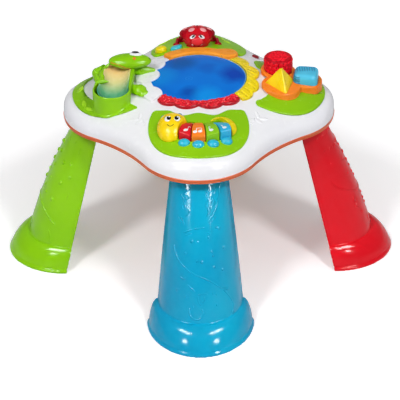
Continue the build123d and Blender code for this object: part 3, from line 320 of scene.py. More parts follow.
finishOf = {
    "top_shell": "whiteGloss", "bottom_shell": "rimOrange",
    "leg_front": "legBlue", "leg_left": "legGreen", "leg_right": "legRed", "leg_back": "legYellow",
    "screen_lens": "screenBlue", "lamp_board": "boardGreen", "cloud_trim": "cloudGloss",
    # the red band is dressed darker than its pebbles: painted shade between them
    "band_red": "bandRedDeep", "band_yellow": "bandYellow", "band_orange": "rollOrange",
    "plate_right": "plateLime", "plate_back": "plateLimeBack", "plate_left": "plateLime",
    "plate_front": "plateLime",
    "key_red": "keyRed", "key_orange": "keyOrange", "key_green": "keyGreen", "key_blue": "keyBlue",
    "key_rod": "steelBright", "key_board": "boardGreen", "key_mat": "rubberGrey",
    "worm_head": "headYellow", "worm_antennae": "feelerBlue",
    "worm_tail": "buttonYellow", "worm_feet": "footBlue",
    "ladybug_body": "bugRed", "ladybug_wings": "wingRed", "ladybug_legs": "wingRed",
    "button_yellow": "buttonYellow", "button_leaf": "leafBlue", "back_board": "boardGreen",
    "back_mat": "rubberGrey",
    "frog_body": "frogGreen", "belly_slide": "slidePaint", "frog_head": "frogGreen", "frog_eyes": "eyeWhite",
    "frog_arm_left": "frogGreen", "frog_arm_right": "frogGreen", "frog_foot": "frogGreen",
    # the round block is dressed darker than its bumps: painted shade between them
    "sorter_stump": "stumpOrange", "block_round": "blockRedDeep", "block_triangle": "blockYellow",
    "block_square": "blockBlue",
    "switch_bezel": "whiteGloss", "switch_knob": "switchRed", "switch_body": "blackPaint",
    "batteries": "cellJacket", "battery_contacts": "steelBright", "battery_door": "doorOrange",
    "door_screw": "steelBright",
    "case_screws": "steelBright", "speaker": "blackPaint", "main_board": "boardGreen",
}
for name, finish in finishOf.items():
    dress(name, finish)
print("finishes on the nodes:", len(finishOf))


def ramp(value, low, high):
    # 0 up to low, 1 from high on
    return min(1.0, max(0.0, (value - low) / (high - low)))


def clearSelection():
    if bpy.context.object and bpy.context.object.mode != "OBJECT":
        bpy.ops.object.mode_set(mode="OBJECT")
    bpy.ops.object.select_all(action="DESELECT")


def surfaceOf(*names):
    # nodes or finished pieces as one surface that a straight ray can meet
    spots, faces = [], []
    for name in names:
        mesh = nodes[name].data if name in nodes else bpy.data.objects[name].data
        first = len(spots)
        spots += [vertex.co.copy() for vertex in mesh.vertices]
        faces += [[first + index for index in face.vertices] for face in mesh.polygons]
    return BVHTree.FromPolygons(spots, faces)


def dropOn(surface, x, y, fromHeight=450.0):
    # straight down onto a surface, all in millimetres
    spot, normal, face, far = surface.ray_cast(Vector((x, y, fromHeight)) * mm, Vector((0, 0, -1)))
    return (spot, normal) if spot else None


def aimOn(surface, start, target):
    # from one point towards another, in millimetres, to the first surface met
    first, last = Vector(start) * mm, Vector(target) * mm
    spot, normal, face, far = surface.ray_cast(first, (last - first).normalized())
    return (spot, normal) if spot else None


def nearOn(surface, x, y, z):
    # the nearest place of a surface
    spot, normal, face, far = surface.find_nearest(Vector((x, y, z)) * mm)
    return spot, normal


def heading(degrees):
    # level direction, counted from the x axis
    turn = math.radians(degrees)
    return Vector((math.cos(turn), math.sin(turn), 0))


def ringSpot(middle, reach, degrees, height=0.0):
    # a point of a level ring, in millimetres
    turn = math.radians(degrees)
    return middle[0] + reach * math.cos(turn), middle[1] + reach * math.sin(turn), height


def ringOn(surface, middle, degrees, height, reach=60.0):
    # level, from a ring inwards, onto what stands in its middle
    return aimOn(surface, ringSpot(middle, reach, degrees, height), (*middle, height))


def pushOn(surface, degrees, across, height, reach=480.0):
    # level, from outside in, onto the leg that stands at this turn
    outward = heading(degrees)
    side = Vector((-outward.y, outward.x, 0))
    start = outward * reach + side * across + Vector((0, 0, height))
    return aimOn(surface, start, start - outward)


def makePebble(name, radius, height, around=12, rings=8):
    # low rounded bead; its lower half sinks into what carries it
    clearSelection()
    bpy.ops.mesh.primitive_uv_sphere_add(segments=around, ring_count=rings, radius=radius * mm,
                                         location=(0, 0, 0))
    bead = bpy.context.object
    bead.name = name
    bpy.ops.object.mode_set(mode="EDIT")
    bpy.ops.mesh.select_all(action="SELECT")
    bpy.ops.transform.resize(value=(1, 1, height / radius))
    bpy.ops.object.mode_set(mode="OBJECT")
    bpy.ops.object.shade_smooth()
    return bead


ovalHeight = 0.16  # painted eyes and spots are this flat


def setDown(pattern, spot, normal, along=(1, 0, 0), size=(1, 1, 1), lift=0.0):
    # a copy of a modelled piece with its own mesh, standing on a surface
    upward = Vector(normal).normalized()
    forward = Vector(along)
    forward = (forward - upward * forward.dot(upward)).normalized()
    side = upward.cross(forward)
    turned = Matrix((forward, side, upward)).transposed().to_4x4()
    place = Matrix.Translation(Vector(spot) + upward * lift * mm)
    made = bpy.data.objects.new(pattern.name + "Copy", pattern.data.copy())
    made.data.transform(place @ turned @ Matrix.Diagonal((*size, 1)))
    bpy.context.collection.objects.link(made)
    return made


def smoothPath(corners, perPart=6):
    # a smooth run of points through the corners (Catmull-Rom)
    run = []
    ends = [corners[0]] + list(corners) + [corners[-1]]
    for before, first, second, after in zip(ends, ends[1:], ends[2:], ends[3:]):
        for step in range(perPart):
            t = step / perPart
            run.append(tuple(
                0.5 * (2 * b + (c - a) * t + (2 * a - 5 * b + 4 * c - d) * t * t
                       + (3 * b - a - 3 * c + d) * t ** 3)
                for a, b, c, d in zip(before, first, second, after)))
    run.append(tuple(corners[-1]))
    return run


def makeRidge(spots, width, sink=0.25, taper=0.4, sides=2, sizes=None, closed=False):
    # rounded raised line; spots are (place, normal) on the surface that carries it
    clearSelection()
    bpy.ops.curve.primitive_bezier_curve_add(location=(0, 0, 0))
    line = bpy.context.object
    line.data.dimensions = "3D"
    line.data.resolution_u = 2
    line.data.bevel_depth = width / 2 * mm
    line.data.bevel_resolution = sides
    line.data.use_fill_caps = True
    points = line.data.splines[0].bezier_points
    points.add(len(spots) - len(points))
    last = len(spots) - 1
    for index, (spot, normal) in enumerate(spots):
        point = points[index]
        point.co = spot - normal * width * sink * mm
        point.handle_left_type = point.handle_right_type = "AUTO"
        point.radius = sizes[index] if sizes else taper if index in (0, last) and not closed else 1.0
    line.data.splines[0].use_cyclic_u = closed
    bpy.ops.object.convert(target="MESH")
    ridge = bpy.context.object
    bpy.ops.object.mode_set(mode="EDIT")
    bpy.ops.mesh.select_all(action="SELECT")
    bpy.ops.mesh.remove_doubles(threshold=1e-6)
    bpy.ops.mesh.normals_make_consistent(inside=False)
    bpy.ops.object.mode_set(mode="OBJECT")
    bpy.ops.object.shade_smooth()
    return ridge


def gather(name, parts, finish, body):
    # joins parts into one named piece that rides on a body
    clearSelection()
    for part in parts:
        part.select_set(True)
    bpy.context.view_layer.objects.active = parts[0]
    if len(parts) > 1:
        bpy.ops.object.join()
    whole = bpy.context.object
    whole.name = name
    whole.data.name = name
    whole.data.materials.clear()
    whole.data.materials.append(finishes[finish])
    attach(whole, body)
    return whole


def throwAway(*patterns):
    clearSelection()
    for pattern in patterns:
        bpy.data.objects.remove(pattern)


def copyOfNode(node, name):
    # a merged copy of a CAD node, ready for modifiers
    clearSelection()
    made = bpy.data.objects.new(name, nodes[node].data.copy())
    bpy.context.collection.objects.link(made)
    makeActive(made)
    bpy.ops.object.mode_set(mode="EDIT")
    bpy.ops.mesh.select_all(action="SELECT")
    bpy.ops.mesh.remove_doubles(threshold=1e-6)
    bpy.ops.object.mode_set(mode="OBJECT")
    return made


def applied(piece, kind, **settings):
    # puts a modifier on the active piece and applies it
    modifier = piece.modifiers.new("step", kind)
    for key, value in settings.items():
        setattr(modifier, key, value)
    bpy.ops.object.modifier_apply(modifier=modifier.name)


def remeshed(piece, size):
    # one closed skin round all that the piece holds
    applied(piece, "REMESH", mode="VOXEL", voxel_size=size * mm)


def smoothed(piece, rounds, factor=0.5):
    applied(piece, "SMOOTH", factor=factor, iterations=rounds)


def makeActive(piece):
    bpy.context.view_layer.objects.active = piece
    piece.select_set(True)


def standIn(piece, node, finish, body, angle=None):
    # the selected piece is shaded smooth and takes the place of its node
    if angle:
        bpy.ops.object.shade_smooth_by_angle(angle=math.radians(angle))
    else:
        bpy.ops.object.shade_smooth()
    gather(piece.name, [piece], finish, body)
    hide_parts(node)


def lineOn(surface, corners, width, step=5, sink=0.25, taper=0.4):
    # a raised line that lies on a surface, along corners in plan
    spots = [dropOn(surface, x, y) for x, y in smoothPath(corners, step)]
    return makeRidge([spot for spot in spots if spot], width, sink=sink, taper=taper)


def nearLine(surface, corners, width, step=5, sink=0.25, taper=0.4):
    # the same through corners in space
    return makeRidge([nearOn(surface, *corner) for corner in smoothPath(corners, step)], width, sink=sink,
                     taper=taper)


def makeHorn(corners):
    # rounded bar whose thickness changes along it
    spots = [(Vector(spot[:3]) * mm, Vector((0, 0, 1))) for spot in smoothPath(corners, 4)]
    sizes = [spot[3] for spot in smoothPath(corners, 4)]
    return makeRidge(spots, 2.0, sink=0.0, sides=4, sizes=sizes)


frontRelief = {
    "turn": -90, "node": "leg_front", "slot": "blue_plastic",
    "zigzags": [
        [(-18, 245), (-14.5, 238), (-22, 231), (-16, 225), (-23.5, 219), (-20, 212), (-16, 206), (-21.5, 200)],
        [(-24, 244), (-20.5, 236), (-27.5, 227), (-22.5, 219), (-28, 213), (-23, 207)],
        [(11, 245), (15.5, 237), (9.5, 230), (14.5, 222), (10, 215), (14, 207), (11, 200)],
        [(16.5, 245), (20.5, 236), (14.5, 229), (19.5, 221), (15.5, 214), (18.5, 206), (15, 199)],
        [(22, 243), (25, 234), (19.5, 227), (24, 219), (20, 212)]],
    "lines": [
        [(32, 242), (30.5, 225.5), (27, 212.5), (21.5, 202), (14, 191.5)],
        [(-40, 152), (-38.5, 143), (-33.5, 133.5), (-26.5, 127.5), (-18.5, 122), (-8, 116.5), (6, 111),
         (20, 103),
         (33, 91.5), (46, 83)],
        [(36, 88), (43, 77), (47.5, 68.5), (52.5, 53), (50, 41.5)],
        [(-16, 64), (-17, 55.5), (-11.5, 47.5), (-2.5, 47.5), (4, 56.5), (2.5, 64)],
        [(-4, 84), (-3, 76), (1, 70.5), (5, 76), (7, 83)]],
    "strokes": [
        [(15, 189), (25.5, 198)], [(-32.5, 195.5), (-29.5, 186)], [(-29, 197.5), (-23.5, 187)],
        [(-25, 175.5), (-11.5, 183)], [(-23, 172.5), (-12, 176.5)], [(-9, 183.5), (0, 185), (9, 185.5)],
        [(17, 190), (17, 177)], [(-31, 109.5), (-27, 107.5), (-22, 109.5)], [(-20, 100), (-8, 91.5)],
        [(-3.5, 86), (4, 88), (12, 86.5)], [(12, 178), (17, 175)]],
    "dots": [
        (-12.5, 166, 2.8), (-2.5, 165, 1.7), (14, 170.5, 2.0), (26, 182, 2.0), (30, 180, 2.4), (38, 148.5, 2.6),
        (-22.5, 146.5, 2.0), (19, 149.5, 2.1), (20.5, 143.5, 2.1), (-4.5, 137, 2.0), (3, 136, 2.6),
        (22.5, 126.5, 2.6), (35.5, 117.5, 2.3), (-36, 87.5, 1.7), (-22, 81, 1.4), (20, 86, 1.4),
        (25.5, 83.5, 1.4),
        (26, 67, 1.6), (-11, 67, 1.4)],
}
leftRelief = {
    "turn": 180, "node": "leg_left", "slot": "leg_green_plastic",
    "zigzags": [],
    "lines": [
        [(-55, 78), (-48.5, 85), (-40, 92.5), (-25, 102), (0, 108), (25, 102), (40, 92.5), (48.5, 85),
         (55, 78)],
        [(51.5, 66), (56, 54), (58, 42.5)], [(-51.5, 66), (-56, 54), (-58, 42.5)],
        [(-14, 66), (-15, 57), (-8, 49), (4, 49), (11, 57), (10, 66)]],
    "strokes": [
        [(42, 217), (43.5, 206)], [(5, 214), (9, 206)], [(53, 138), (54, 126)], [(-42, 217), (-43.5, 206)],
        [(35, 226), (31, 221)], [(-14, 219), (-22, 212)], [(17, 226), (23, 219)]],
    "dots": [
        (32, 184, 3.2), (42, 187, 2.1), (47.5, 164.5, 2.3), (41, 151, 3.2), (40.5, 119, 3.2), (24, 124, 2.2),
        (13, 197, 3.0), (-4, 206, 3.0), (-2, 190, 3.2), (14, 171, 2.4), (-6, 173, 3.2), (0, 156, 2.8),
        (20, 150, 2.0),
        (-4, 140, 3.0), (12, 132, 2.2), (-32, 184, 3.2), (-42, 187, 2.1), (-47.5, 164.5, 2.3), (-41, 151, 3.2),
        (-40.5, 119, 3.2), (-24, 124, 2.2), (-20, 198, 2.4), (-20, 150, 2.2)],
}
rightRelief = {
    "turn": 0, "node": "leg_right", "slot": "red_plastic",
    "zigzags": [],
    "lines": [
        [(-49.5, 154), (-48.5, 145), (-44, 136.5), (-33.5, 127), (-18, 118.5), (0, 114.5), (18, 118.5),
         (33.5, 127),
         (44, 136.5), (48.5, 145), (49.5, 154)],
        [(-32, 114), (-34, 106), (-31, 101), (-35.5, 96), (-30, 91)],
        [(14, 66), (15, 57), (8, 49), (-4, 49), (-11, 57), (-10, 66)]],
    "strokes": [[(-41.5, 181.5), (-38.5, 185)]],
    "dots": [
        (-25.5, 81, 1.8), (0, 196, 2.4), (2, 181, 2.6), (-1, 168, 2.6), (1, 156, 2.2), (-3, 146, 2.2),
        (2, 137, 2.2),
        (0, 104, 2.4), (-2, 94, 2.4), (1, 84, 2.2), (-14, 176, 2.0), (14, 176, 2.0), (-20, 152, 2.0),
        (20, 152, 2.0)],
}
for row in (225.0, 202.0):  # two rows of eleven slanted dashes
    for step in range(11):
        start = -41 + step * 7.6
        rightRelief["strokes"].append([(start, row), (start + 4.6, row + 6.5)])
# the photograph hides the back leg, so it has the front one's relief
backRelief = {**frontRelief, "turn": 90, "node": "leg_back", "slot": "yellow_plastic"}
reliefSize = {"zigzags": 3.2, "lines": 2.6, "strokes": 2.6, "dotHeight": 0.75, "dotStretch": 1.25, "sink": 0.12}


def carveLeg(relief, finish):
    surface = surfaceOf(relief["node"])
    bead = makePebble("legBead", 1.0, reliefSize["dotHeight"])
    parts = []
    for name, step in (("zigzags", None), ("lines", 6), ("strokes", 3)):
        for corners in relief[name]:
            path = smoothPath(corners, step) if step else corners
            spots = [pushOn(surface, relief["turn"], *corner) for corner in path]
            spots = [spot for spot in spots if spot]
            parts.append(makeRidge(spots, reliefSize[name], sink=reliefSize["sink"]))
    for across, height, radius in relief["dots"]:
        hit = pushOn(surface, relief["turn"], across, height)
        if hit:
            size = (radius * reliefSize["dotStretch"], radius, radius)
            parts.append(setDown(bead, *hit, along=(0, 0, 1), size=size))
    gather(relief["node"] + "_relief", parts, finish, "table")
    throwAway(bead)


for relief, finish in ((frontRelief, "legBlue"), (leftRelief, "legGreen"), (rightRelief, "legRed"),
                       (backRelief, "legYellow")):
    carveLeg(relief, finish)
print("legs carved")

legShape = {"open": 222.7, "lean": 0.243, "half": 71.5, "halfFall": 0.09, "halfBend": 8.0e-5, "bow": 74.3,
            "bowLean": 0.043, "bowBend": 7.6e-4, "voxel": 1.7, "shoulderFrom": 9.0, "shoulderTop": 41.5,
            "ledge": 0.1,
            "rounds": 6, "lipHalf": 74.0, "lipTop": 10.0, "lipReach": 30.0, "lipKeep": 0.25}


def roundCollar(name, degrees, finish, tuck):
    # the foot collar swells like a cushion: its flat face is drawn in towards the leg as it rises
    leg = copyOfNode(name, name + "_rounded")
    remeshed(leg, legShape["voxel"])
    outward = heading(degrees)
    side = Vector((-outward.y, outward.x, 0))
    for vertex in leg.data.vertices:
        level = vertex.co.z / mm
        out, across = vertex.co.dot(outward) / mm, vertex.co.dot(side) / mm
        start = legShape["open"] - legShape["lean"] * level
        half = legShape["half"] - legShape["halfFall"] * level - legShape["halfBend"] * level ** 2
        bow = legShape["bow"] + legShape["bowLean"] * level - legShape["bowBend"] * level ** 2
        past = math.hypot(max(out - start, 0) / bow, across / half)
        if level < legShape["shoulderTop"] and past > 1:
            share = ramp(level, legShape["shoulderFrom"], legShape["shoulderTop"])
            keep = max(math.sqrt(max(0.0, 1 - share ** 2)), legShape["ledge"])
            grow = (1 + (past - 1) * keep) / past
            out = start + (out - start) * grow if out > start else out
            across *= grow
        if tuck and level < legShape["lipTop"] and out < start + legShape["lipReach"]:
            extra = max(0.0, abs(across) - legShape["lipHalf"])
            across -= math.copysign(extra * (1 - legShape["lipKeep"]), across)
        vertex.co = (outward * out + side * across + Vector((0, 0, level))) * mm
    smoothed(leg, legShape["rounds"])
    standIn(leg, name, finish, "table")


for name, degrees, finish, slotName, tuck in (
        ("leg_front", -90, "legBlue", "blue_plastic", False),
        ("leg_left", 180, "legGreen", "leg_green_plastic", False),
        ("leg_right", 0, "legRed", "red_plastic", False),
        ("leg_back", 90, "legYellow", "yellow_plastic", True)):
    roundCollar(name, degrees, finish, tuck)
print("collars rounded")

vine = {
    "stem": [(-78, -119), (-86, -112), (-90, -104), (-97, -98), (-106, -92)],
    "leaves": [(-84, -107, 130), (-95, -106, -150), (-93, -93, 75), (-103, -98, 170), (-80, -114, 20)],
    "leafLength": 7.5, "leafWidth": 3.4, "leafHeight": 0.7, "pinch": 0.55, "stemWidth": 1.3,
}


def makeLeafShape(name, length, width, height):
    # flat pointed leaf: a bead drawn out to a tip at both ends
    bead = makePebble(name, 1.0, 1.0, around=16, rings=8)
    for vertex in bead.data.vertices:
        pinch = 1.0 - vine["pinch"] * abs(vertex.co.x / mm) ** 2
        vertex.co = Vector((vertex.co.x * length, vertex.co.y * width * pinch, vertex.co.z * height))
    return bead


def makeVine(name, mirror):
    surface = surfaceOf("top_shell")
    leaf = makeLeafShape("vineLeaf", vine["leafLength"], vine["leafWidth"], vine["leafHeight"])
    path = [(x * mirror, y) for x, y in smoothPath(vine["stem"], 5)]
    parts = [makeRidge([dropOn(surface, x, y) for x, y in path], vine["stemWidth"], sink=0.3)]
    for x, y, turn in vine["leaves"]:
        along = heading(turn)
        along.x *= mirror
        parts.append(setDown(leaf, *dropOn(surface, x * mirror, y), along=along))
    gather(name, parts, "whiteGloss", "table")
    throwAway(leaf)


makeVine("vine_left", 1)
makeVine("vine_right", -1)
print("vines set")

keyShape = {
    "voxel": 0.75, "rounds": 12, "softness": 0.55, "from": -151.0, "to": -128.0, "stretch": 5.0, "above": 0.3,
    "shades": {"red": ("keyRed", "red_plastic"), "orange": ("keyOrange", "orange_plastic"),
               "green": ("keyGreen", "lime_plastic"), "blue": ("keyBlue", "light_blue_plastic")},
}

wormShape = {
    "headGrow": 6.0, "headVoxel": 0.9, "headRounds": 8, "headAlong": (-152, -122), "headAcross": (-52, -28),
    "roomVoxel": 1.0, "tailVoxel": 0.8, "tailRounds": 4,
    "feelers": [(-58.5, -117.0, (4.5, 0.5, -1.0), 0.92), (-29.0, -113.5, (-1.0, -5.5, -1.0), 0.86)],
    "feet": [(-22.5, -175.5), (-0.6, -181.0), (22.3, -178.0), (43.2, -168.0)], "feelerRise": 3.0,
    "footDepth": 0.84, "footRise": 0.8, "footBack": 1.6,
    "bulbPlace": (40.0, -136.5, 309.0), "bulbSize": (20.6, 20.0, 14.0), "gap": 1.9,
}


def plateLevel(x, y):
    # height of the lime plates' upper face, in millimetres
    return 327.8 - 7.38e-4 * (x * x + y * y) - 8e-8 * x * x * y * y


def stretchBack(key):
    # what stands above the plate reaches further back
    for vertex in key.data.vertices:
        x, y, z = vertex.co / mm
        if z > plateLevel(x, y) + keyShape["above"]:
            vertex.co.y += keyShape["stretch"] * ramp(y, keyShape["from"], keyShape["to"]) * mm


def fullTail():
    # the tail is a full bulb up to the rounded back of the last key, with a gap for its travel
    clearSelection()
    bpy.ops.mesh.primitive_uv_sphere_add(segments=40, ring_count=24, radius=mm, location=(0, 0, 0))
    bulb = bpy.context.object
    size, middle = wormShape["bulbSize"], wormShape["bulbPlace"]
    for vertex in bulb.data.vertices:
        vertex.co = Vector([vertex.co[i] * size[i] + middle[i] * mm for i in range(3)])
    for node in ("key_blue", "key_green"):
        room = copyOfNode(node, "keyRoom")
        remeshed(room, wormShape["roomVoxel"])
        stretchBack(room)
        applied(room, "DISPLACE", strength=wormShape["gap"] * mm, mid_level=0.0)
        clearSelection()
        makeActive(bulb)
        applied(bulb, "BOOLEAN", operation="DIFFERENCE", object=room, solver="EXACT")
        throwAway(room)
    tail = copyOfNode("worm_tail", "worm_tail_full")
    bulb.select_set(True)
    bpy.context.view_layer.objects.active = tail
    bpy.ops.object.join()
    remeshed(tail, wormShape["tailVoxel"])
    smoothed(tail, wormShape["tailRounds"])
    standIn(tail, "worm_tail", "buttonYellow", "table")


def shapeHead():
    # the head is fuller towards the keys
    head = copyOfNode("worm_head", "worm_head_round")
    remeshed(head, wormShape["headVoxel"])
    for vertex in head.data.vertices:
        x, y = vertex.co.x / mm, vertex.co.y / mm
        share = ramp(y, *wormShape["headAlong"]) * ramp(x, *wormShape["headAcross"])
        vertex.co.x += wormShape["headGrow"] * share * mm
    smoothed(head, wormShape["headRounds"])
    standIn(head, "worm_head", "headYellow", "table")


def shapeFeelers():
    feelers = copyOfNode("worm_antennae", "worm_feelers")
    for vertex in feelers.data.vertices:
        x, y, shift, size = min(wormShape["feelers"], key=lambda row: abs(row[0] - vertex.co.x / mm))
        middle = Vector((x, y, plateLevel(x, y) + wormShape["feelerRise"])) * mm
        vertex.co = middle + (vertex.co - middle) * size + Vector(shift) * mm
    standIn(feelers, "worm_antennae", "feelerBlue", "table")


def shapeFeet():
    # each foot is drawn in towards its own middle and lowered onto the plate
    feet = copyOfNode("worm_feet", "worm_feet_round")
    for vertex in feet.data.vertices:
        across, along = vertex.co.x / mm, vertex.co.y / mm
        x, y = min(wormShape["feet"], key=lambda spot: math.hypot(spot[0] - across, spot[1] - along))
        level = plateLevel(x, y) * mm
        vertex.co.y = (y + wormShape["footBack"]) * mm + (vertex.co.y - y * mm) * wormShape["footDepth"]
        vertex.co.z = level + (vertex.co.z - level) * wormShape["footRise"]
    standIn(feet, "worm_feet", "footBlue", "table")


def shapeWorm():
    shapeHead()
    shapeFeelers()
    fullTail()
    shapeFeet()


shapeWorm()
print("worm shaped")

worm = {
    "pupilLift": 0.75, "glintLift": 1.6,
    "eyes": [(-48.4, -140.8, 100, 4.8, 6.6), (-33.2, -140.2, 78, 4.8, 6.6)],
    "pupils": [(-46.2, -140.2, 95, 3.4, 5.0), (-34.2, -139.8, 80, 3.4, 5.0)],
    "glints": [(-45.4, -138.6, 1.4), (-33.0, -138.2, 1.4)],
    "smile": [(-49.0, -151.6), (-46.6, -154.6), (-43.7, -155.7), (-40.9, -154.8), (-38.6, -152.2)],
    "lashes": [[(-52.5, -136.5), (-55.0, -133.5)], [(-50.0, -134.6), (-51.4, -131.2)],
               [(-29.0, -135.6), (-26.6, -132.6)], [(-31.5, -134.0), (-30.4, -130.8)]],
}


def paintFace():
    surface = surfaceOf("worm_head_round")
    oval = makePebble("eyeOval", 1.0, ovalHeight, around=24, rings=8)
    whites, darks, lights = [], [], []
    for rows, lift, made in ((worm["eyes"], 0.0, whites), (worm["pupils"], worm["pupilLift"], darks)):
        for x, y, turn, across, along in rows:
            made.append(setDown(oval, *dropOn(surface, x, y), along=heading(turn), size=(along, across, 7.0),
                                lift=lift))
    for x, y, size in worm["glints"]:
        lights.append(setDown(oval, *dropOn(surface, x, y), size=(size, size, 5.0), lift=worm["glintLift"]))
    smile = [dropOn(surface, x, y) for x, y in smoothPath(worm["smile"], 4)]
    darks.append(makeRidge(smile, 1.0, sink=0.1))
    for lash in worm["lashes"]:
        darks.append(makeRidge([dropOn(surface, x, y) for x, y in smoothPath(lash, 3)], 0.9, sink=0.1))
    gather("worm_eye_whites", whites, "eyeWhite", "table")
    gather("worm_eye_marks", darks, "blackPaint", "table")
    gather("worm_eye_glints", lights, "eyeWhite", "table")
    throwAway(oval)


paintFace()
print("face painted")


def softenKeys():
    # the moulded keys have no sharp edge: each solid is remeshed and its edges run soft
    for shade, (finish, slotName) in keyShape["shades"].items():
        node = "key_" + shade
        key = copyOfNode(node, node + "_soft")
        remeshed(key, keyShape["voxel"])
        stretchBack(key)
        smoothed(key, keyShape["rounds"], keyShape["softness"])
        standIn(key, node, finish, node)


softenKeys()
print("keys softened")

notes = {
    "key_red": [{"head": (-20.0, -160.5), "stem": [(-17.2, -159.5), (-15.0, -151.5)],
                 "flag": [(-15.0, -151.5), (-12.4, -153.6)]}],
    "key_orange": [{"head": (-5.6, -164.4), "stem": [(-3.2, -163.6), (-3.2, -156.5)],
                    "flag": [(-3.2, -156.5), (4.6, -156.0)]},
                   {"head": (2.4, -163.4), "stem": [(4.6, -162.6), (4.6, -156.0)], "flag": None}],
    "key_green": [{"head": (19.5, -161.0), "stem": [(17.0, -160.0), (15.6, -152.4)],
                   "flag": [(15.6, -152.4), (18.6, -154.2)]}],
    "key_blue": [{"head": (40.2, -155.0), "stem": [(38.0, -153.6), (34.6, -147.6)],
                  "flag": [(34.6, -147.6), (37.6, -148.6)]}],
}


def paintNotes():
    blob = makePebble("noteHead", 1.0, 0.2, around=20, rings=8)
    for key, marks in notes.items():
        surface = surfaceOf(key + "_soft")
        parts = []
        for mark in marks:
            parts.append(setDown(blob, *dropOn(surface, *mark["head"]), along=(1, 0.35, 0),
                                 size=(3.5, 2.9, 3.0)))
            for line in (mark["stem"], mark["flag"]):
                if line:
                    spots = [dropOn(surface, x, y) for x, y in smoothPath(line, 4)]
                    parts.append(makeRidge([spot for spot in spots if spot], 1.3, sink=0.2, taper=0.8))
        gather(key + "_note", parts, "eyeWhite", key)
    throwAway(blob)


paintNotes()
print("notes painted")

rowShare = 0.866  # rows of beads that lie in each other's gaps
redBand = {"spacing": 4.3, "drift": 1.1, "sizes": (2.2, 3.0), "height": 1.5, "rows": 16, "columns": 36,
           "from": -48.0, "probe": 2.0,
           "level": 0.7, "narrow": 0.85, "seed": 5}


def pebbleRedBand():
    # rows of uneven pebbles, close together, all over the band
    surface = surfaceOf("band_red")
    pebble = makePebble("bandPebble", 1.0, 1.0, around=10, rings=6)
    chance = random.Random(redBand["seed"])
    pebbles = []
    for row in range(redBand["rows"]):
        for column in range(redBand["columns"]):
            x = (column - redBand["columns"] / 2 + 0.5 * (row % 2)) * redBand["spacing"]
            x += chance.uniform(-1, 1) * redBand["drift"]
            y = redBand["from"] - row * redBand["spacing"] * rowShare + chance.uniform(-1, 1) * redBand["drift"]
            size, probe = chance.uniform(*redBand["sizes"]), redBand["probe"]
            hit = dropOn(surface, x, y)
            # a pebble lies only where the band goes on all round it and is nearly level
            around = ((probe, 0), (-probe, 0), (0, probe), (0, -probe))
            sides = [dropOn(surface, x + dx, y + dy) for dx, dy in around]
            if hit and all(sides) and hit[1].z > redBand["level"]:
                along = (1, chance.uniform(-1, 1), 0)
                shape = (size, size * redBand["narrow"], redBand["height"])
                pebbles.append(setDown(pebble, *hit, along=along, size=shape))
    gather("band_red_pebbles", pebbles, "bandRed", "table")
    throwAway(pebble)


pebbleRedBand()
print("red band pebbled")

edgeAngle = 35  # degrees up to which an edge is shaded smooth
yellowBand = {
    "folds": [
        [(72.5, 45.5), (76.5, 46.0), (81.0, 44.5)], [(75.8, 37.5), (81.5, 35.5), (88.0, 30.0)],
        [(79.6, 28.0), (86.0, 24.5), (92.0, 17.5)], [(80.6, 17.7), (87.0, 13.0), (93.0, 5.0)],
        [(81.6, 5.0), (88.5, -0.5), (95.0, -8.0)], [(81.4, -7.0), (88.0, -14.5), (94.5, -26.0)],
        [(79.8, -21.5), (86.5, -28.0), (92.5, -37.0)], [(75.4, -36.5), (81.0, -43.5), (86.0, -52.5)],
        [(69.5, -48.0), (75.0, -54.0), (80.5, -60.0)], [(63.5, -56.0), (69.0, -61.0), (73.5, -66.5)]],
    "width": 3.4,
}


def carved(node, name, tubes, softness=0):
    # a copy of a node with the tubes cut out of it as grooves
    block = copyOfNode(node, name)
    if softness:
        remeshed(block, squareBlock["voxel"])
        smoothed(block, softness, squareBlock["softness"])
    clearSelection()
    for tube in tubes:
        tube.select_set(True)
    bpy.context.view_layer.objects.active = tubes[0]
    bpy.ops.object.join()
    cutter = bpy.context.object
    clearSelection()
    makeActive(block)
    applied(block, "BOOLEAN", operation="DIFFERENCE", object=cutter, solver="EXACT", use_self=True)
    throwAway(cutter)
    makeActive(block)
    return block


def foldYellowBand():
    surface = surfaceOf("band_yellow")
    width = yellowBand["width"]
    folds = [lineOn(surface, corners, width, sink=-0.12, taper=0.5) for corners in yellowBand["folds"]]
    band = carved("band_yellow", "band_yellow_folded", folds)
    standIn(band, "band_yellow", "bandYellow", "table", angle=edgeAngle)


foldYellowBand()
print("yellow band folded")

screenEdge = {"radius": 76.3, "width": 1.5, "shadowRadius": 78.1, "shadowWidth": 1.0, "from": -136.5, "to": 126.0,
              "shadowFrom": -43.0, "shadowTo": 62.0, "steps": 72}


def edgeScreen():
    # a pale bead round the clear cover, and a dark line where the yellow band meets it: painted shadow that the
    # band's inner wall casts
    lens, bands = surfaceOf("screen_lens"), surfaceOf("band_yellow", "band_orange", "screen_lens", "top_shell")
    for name, surface, radius, width, start, end, finish, slotName in (
            ("screen_bead", lens, "radius", "width", "from", "to", "beadBlue", "light_blue_plastic"),
            ("screen_seam", bands, "shadowRadius", "shadowWidth", "shadowFrom", "shadowTo", "seamGreen",
             "blue_plastic")):
        reach, first, last = screenEdge[radius], screenEdge[start], screenEdge[end]
        turns = [first + (last - first) * step / screenEdge["steps"] for step in range(screenEdge["steps"] + 1)]
        spots = [dropOn(surface, *ringSpot((0, 0), reach, turn)[:2]) for turn in turns]
        ridge = makeRidge([spot for spot in spots if spot], screenEdge[width], sink=0.3, taper=0.6)
        gather(name, [ridge], finish, "table")


edgeScreen()

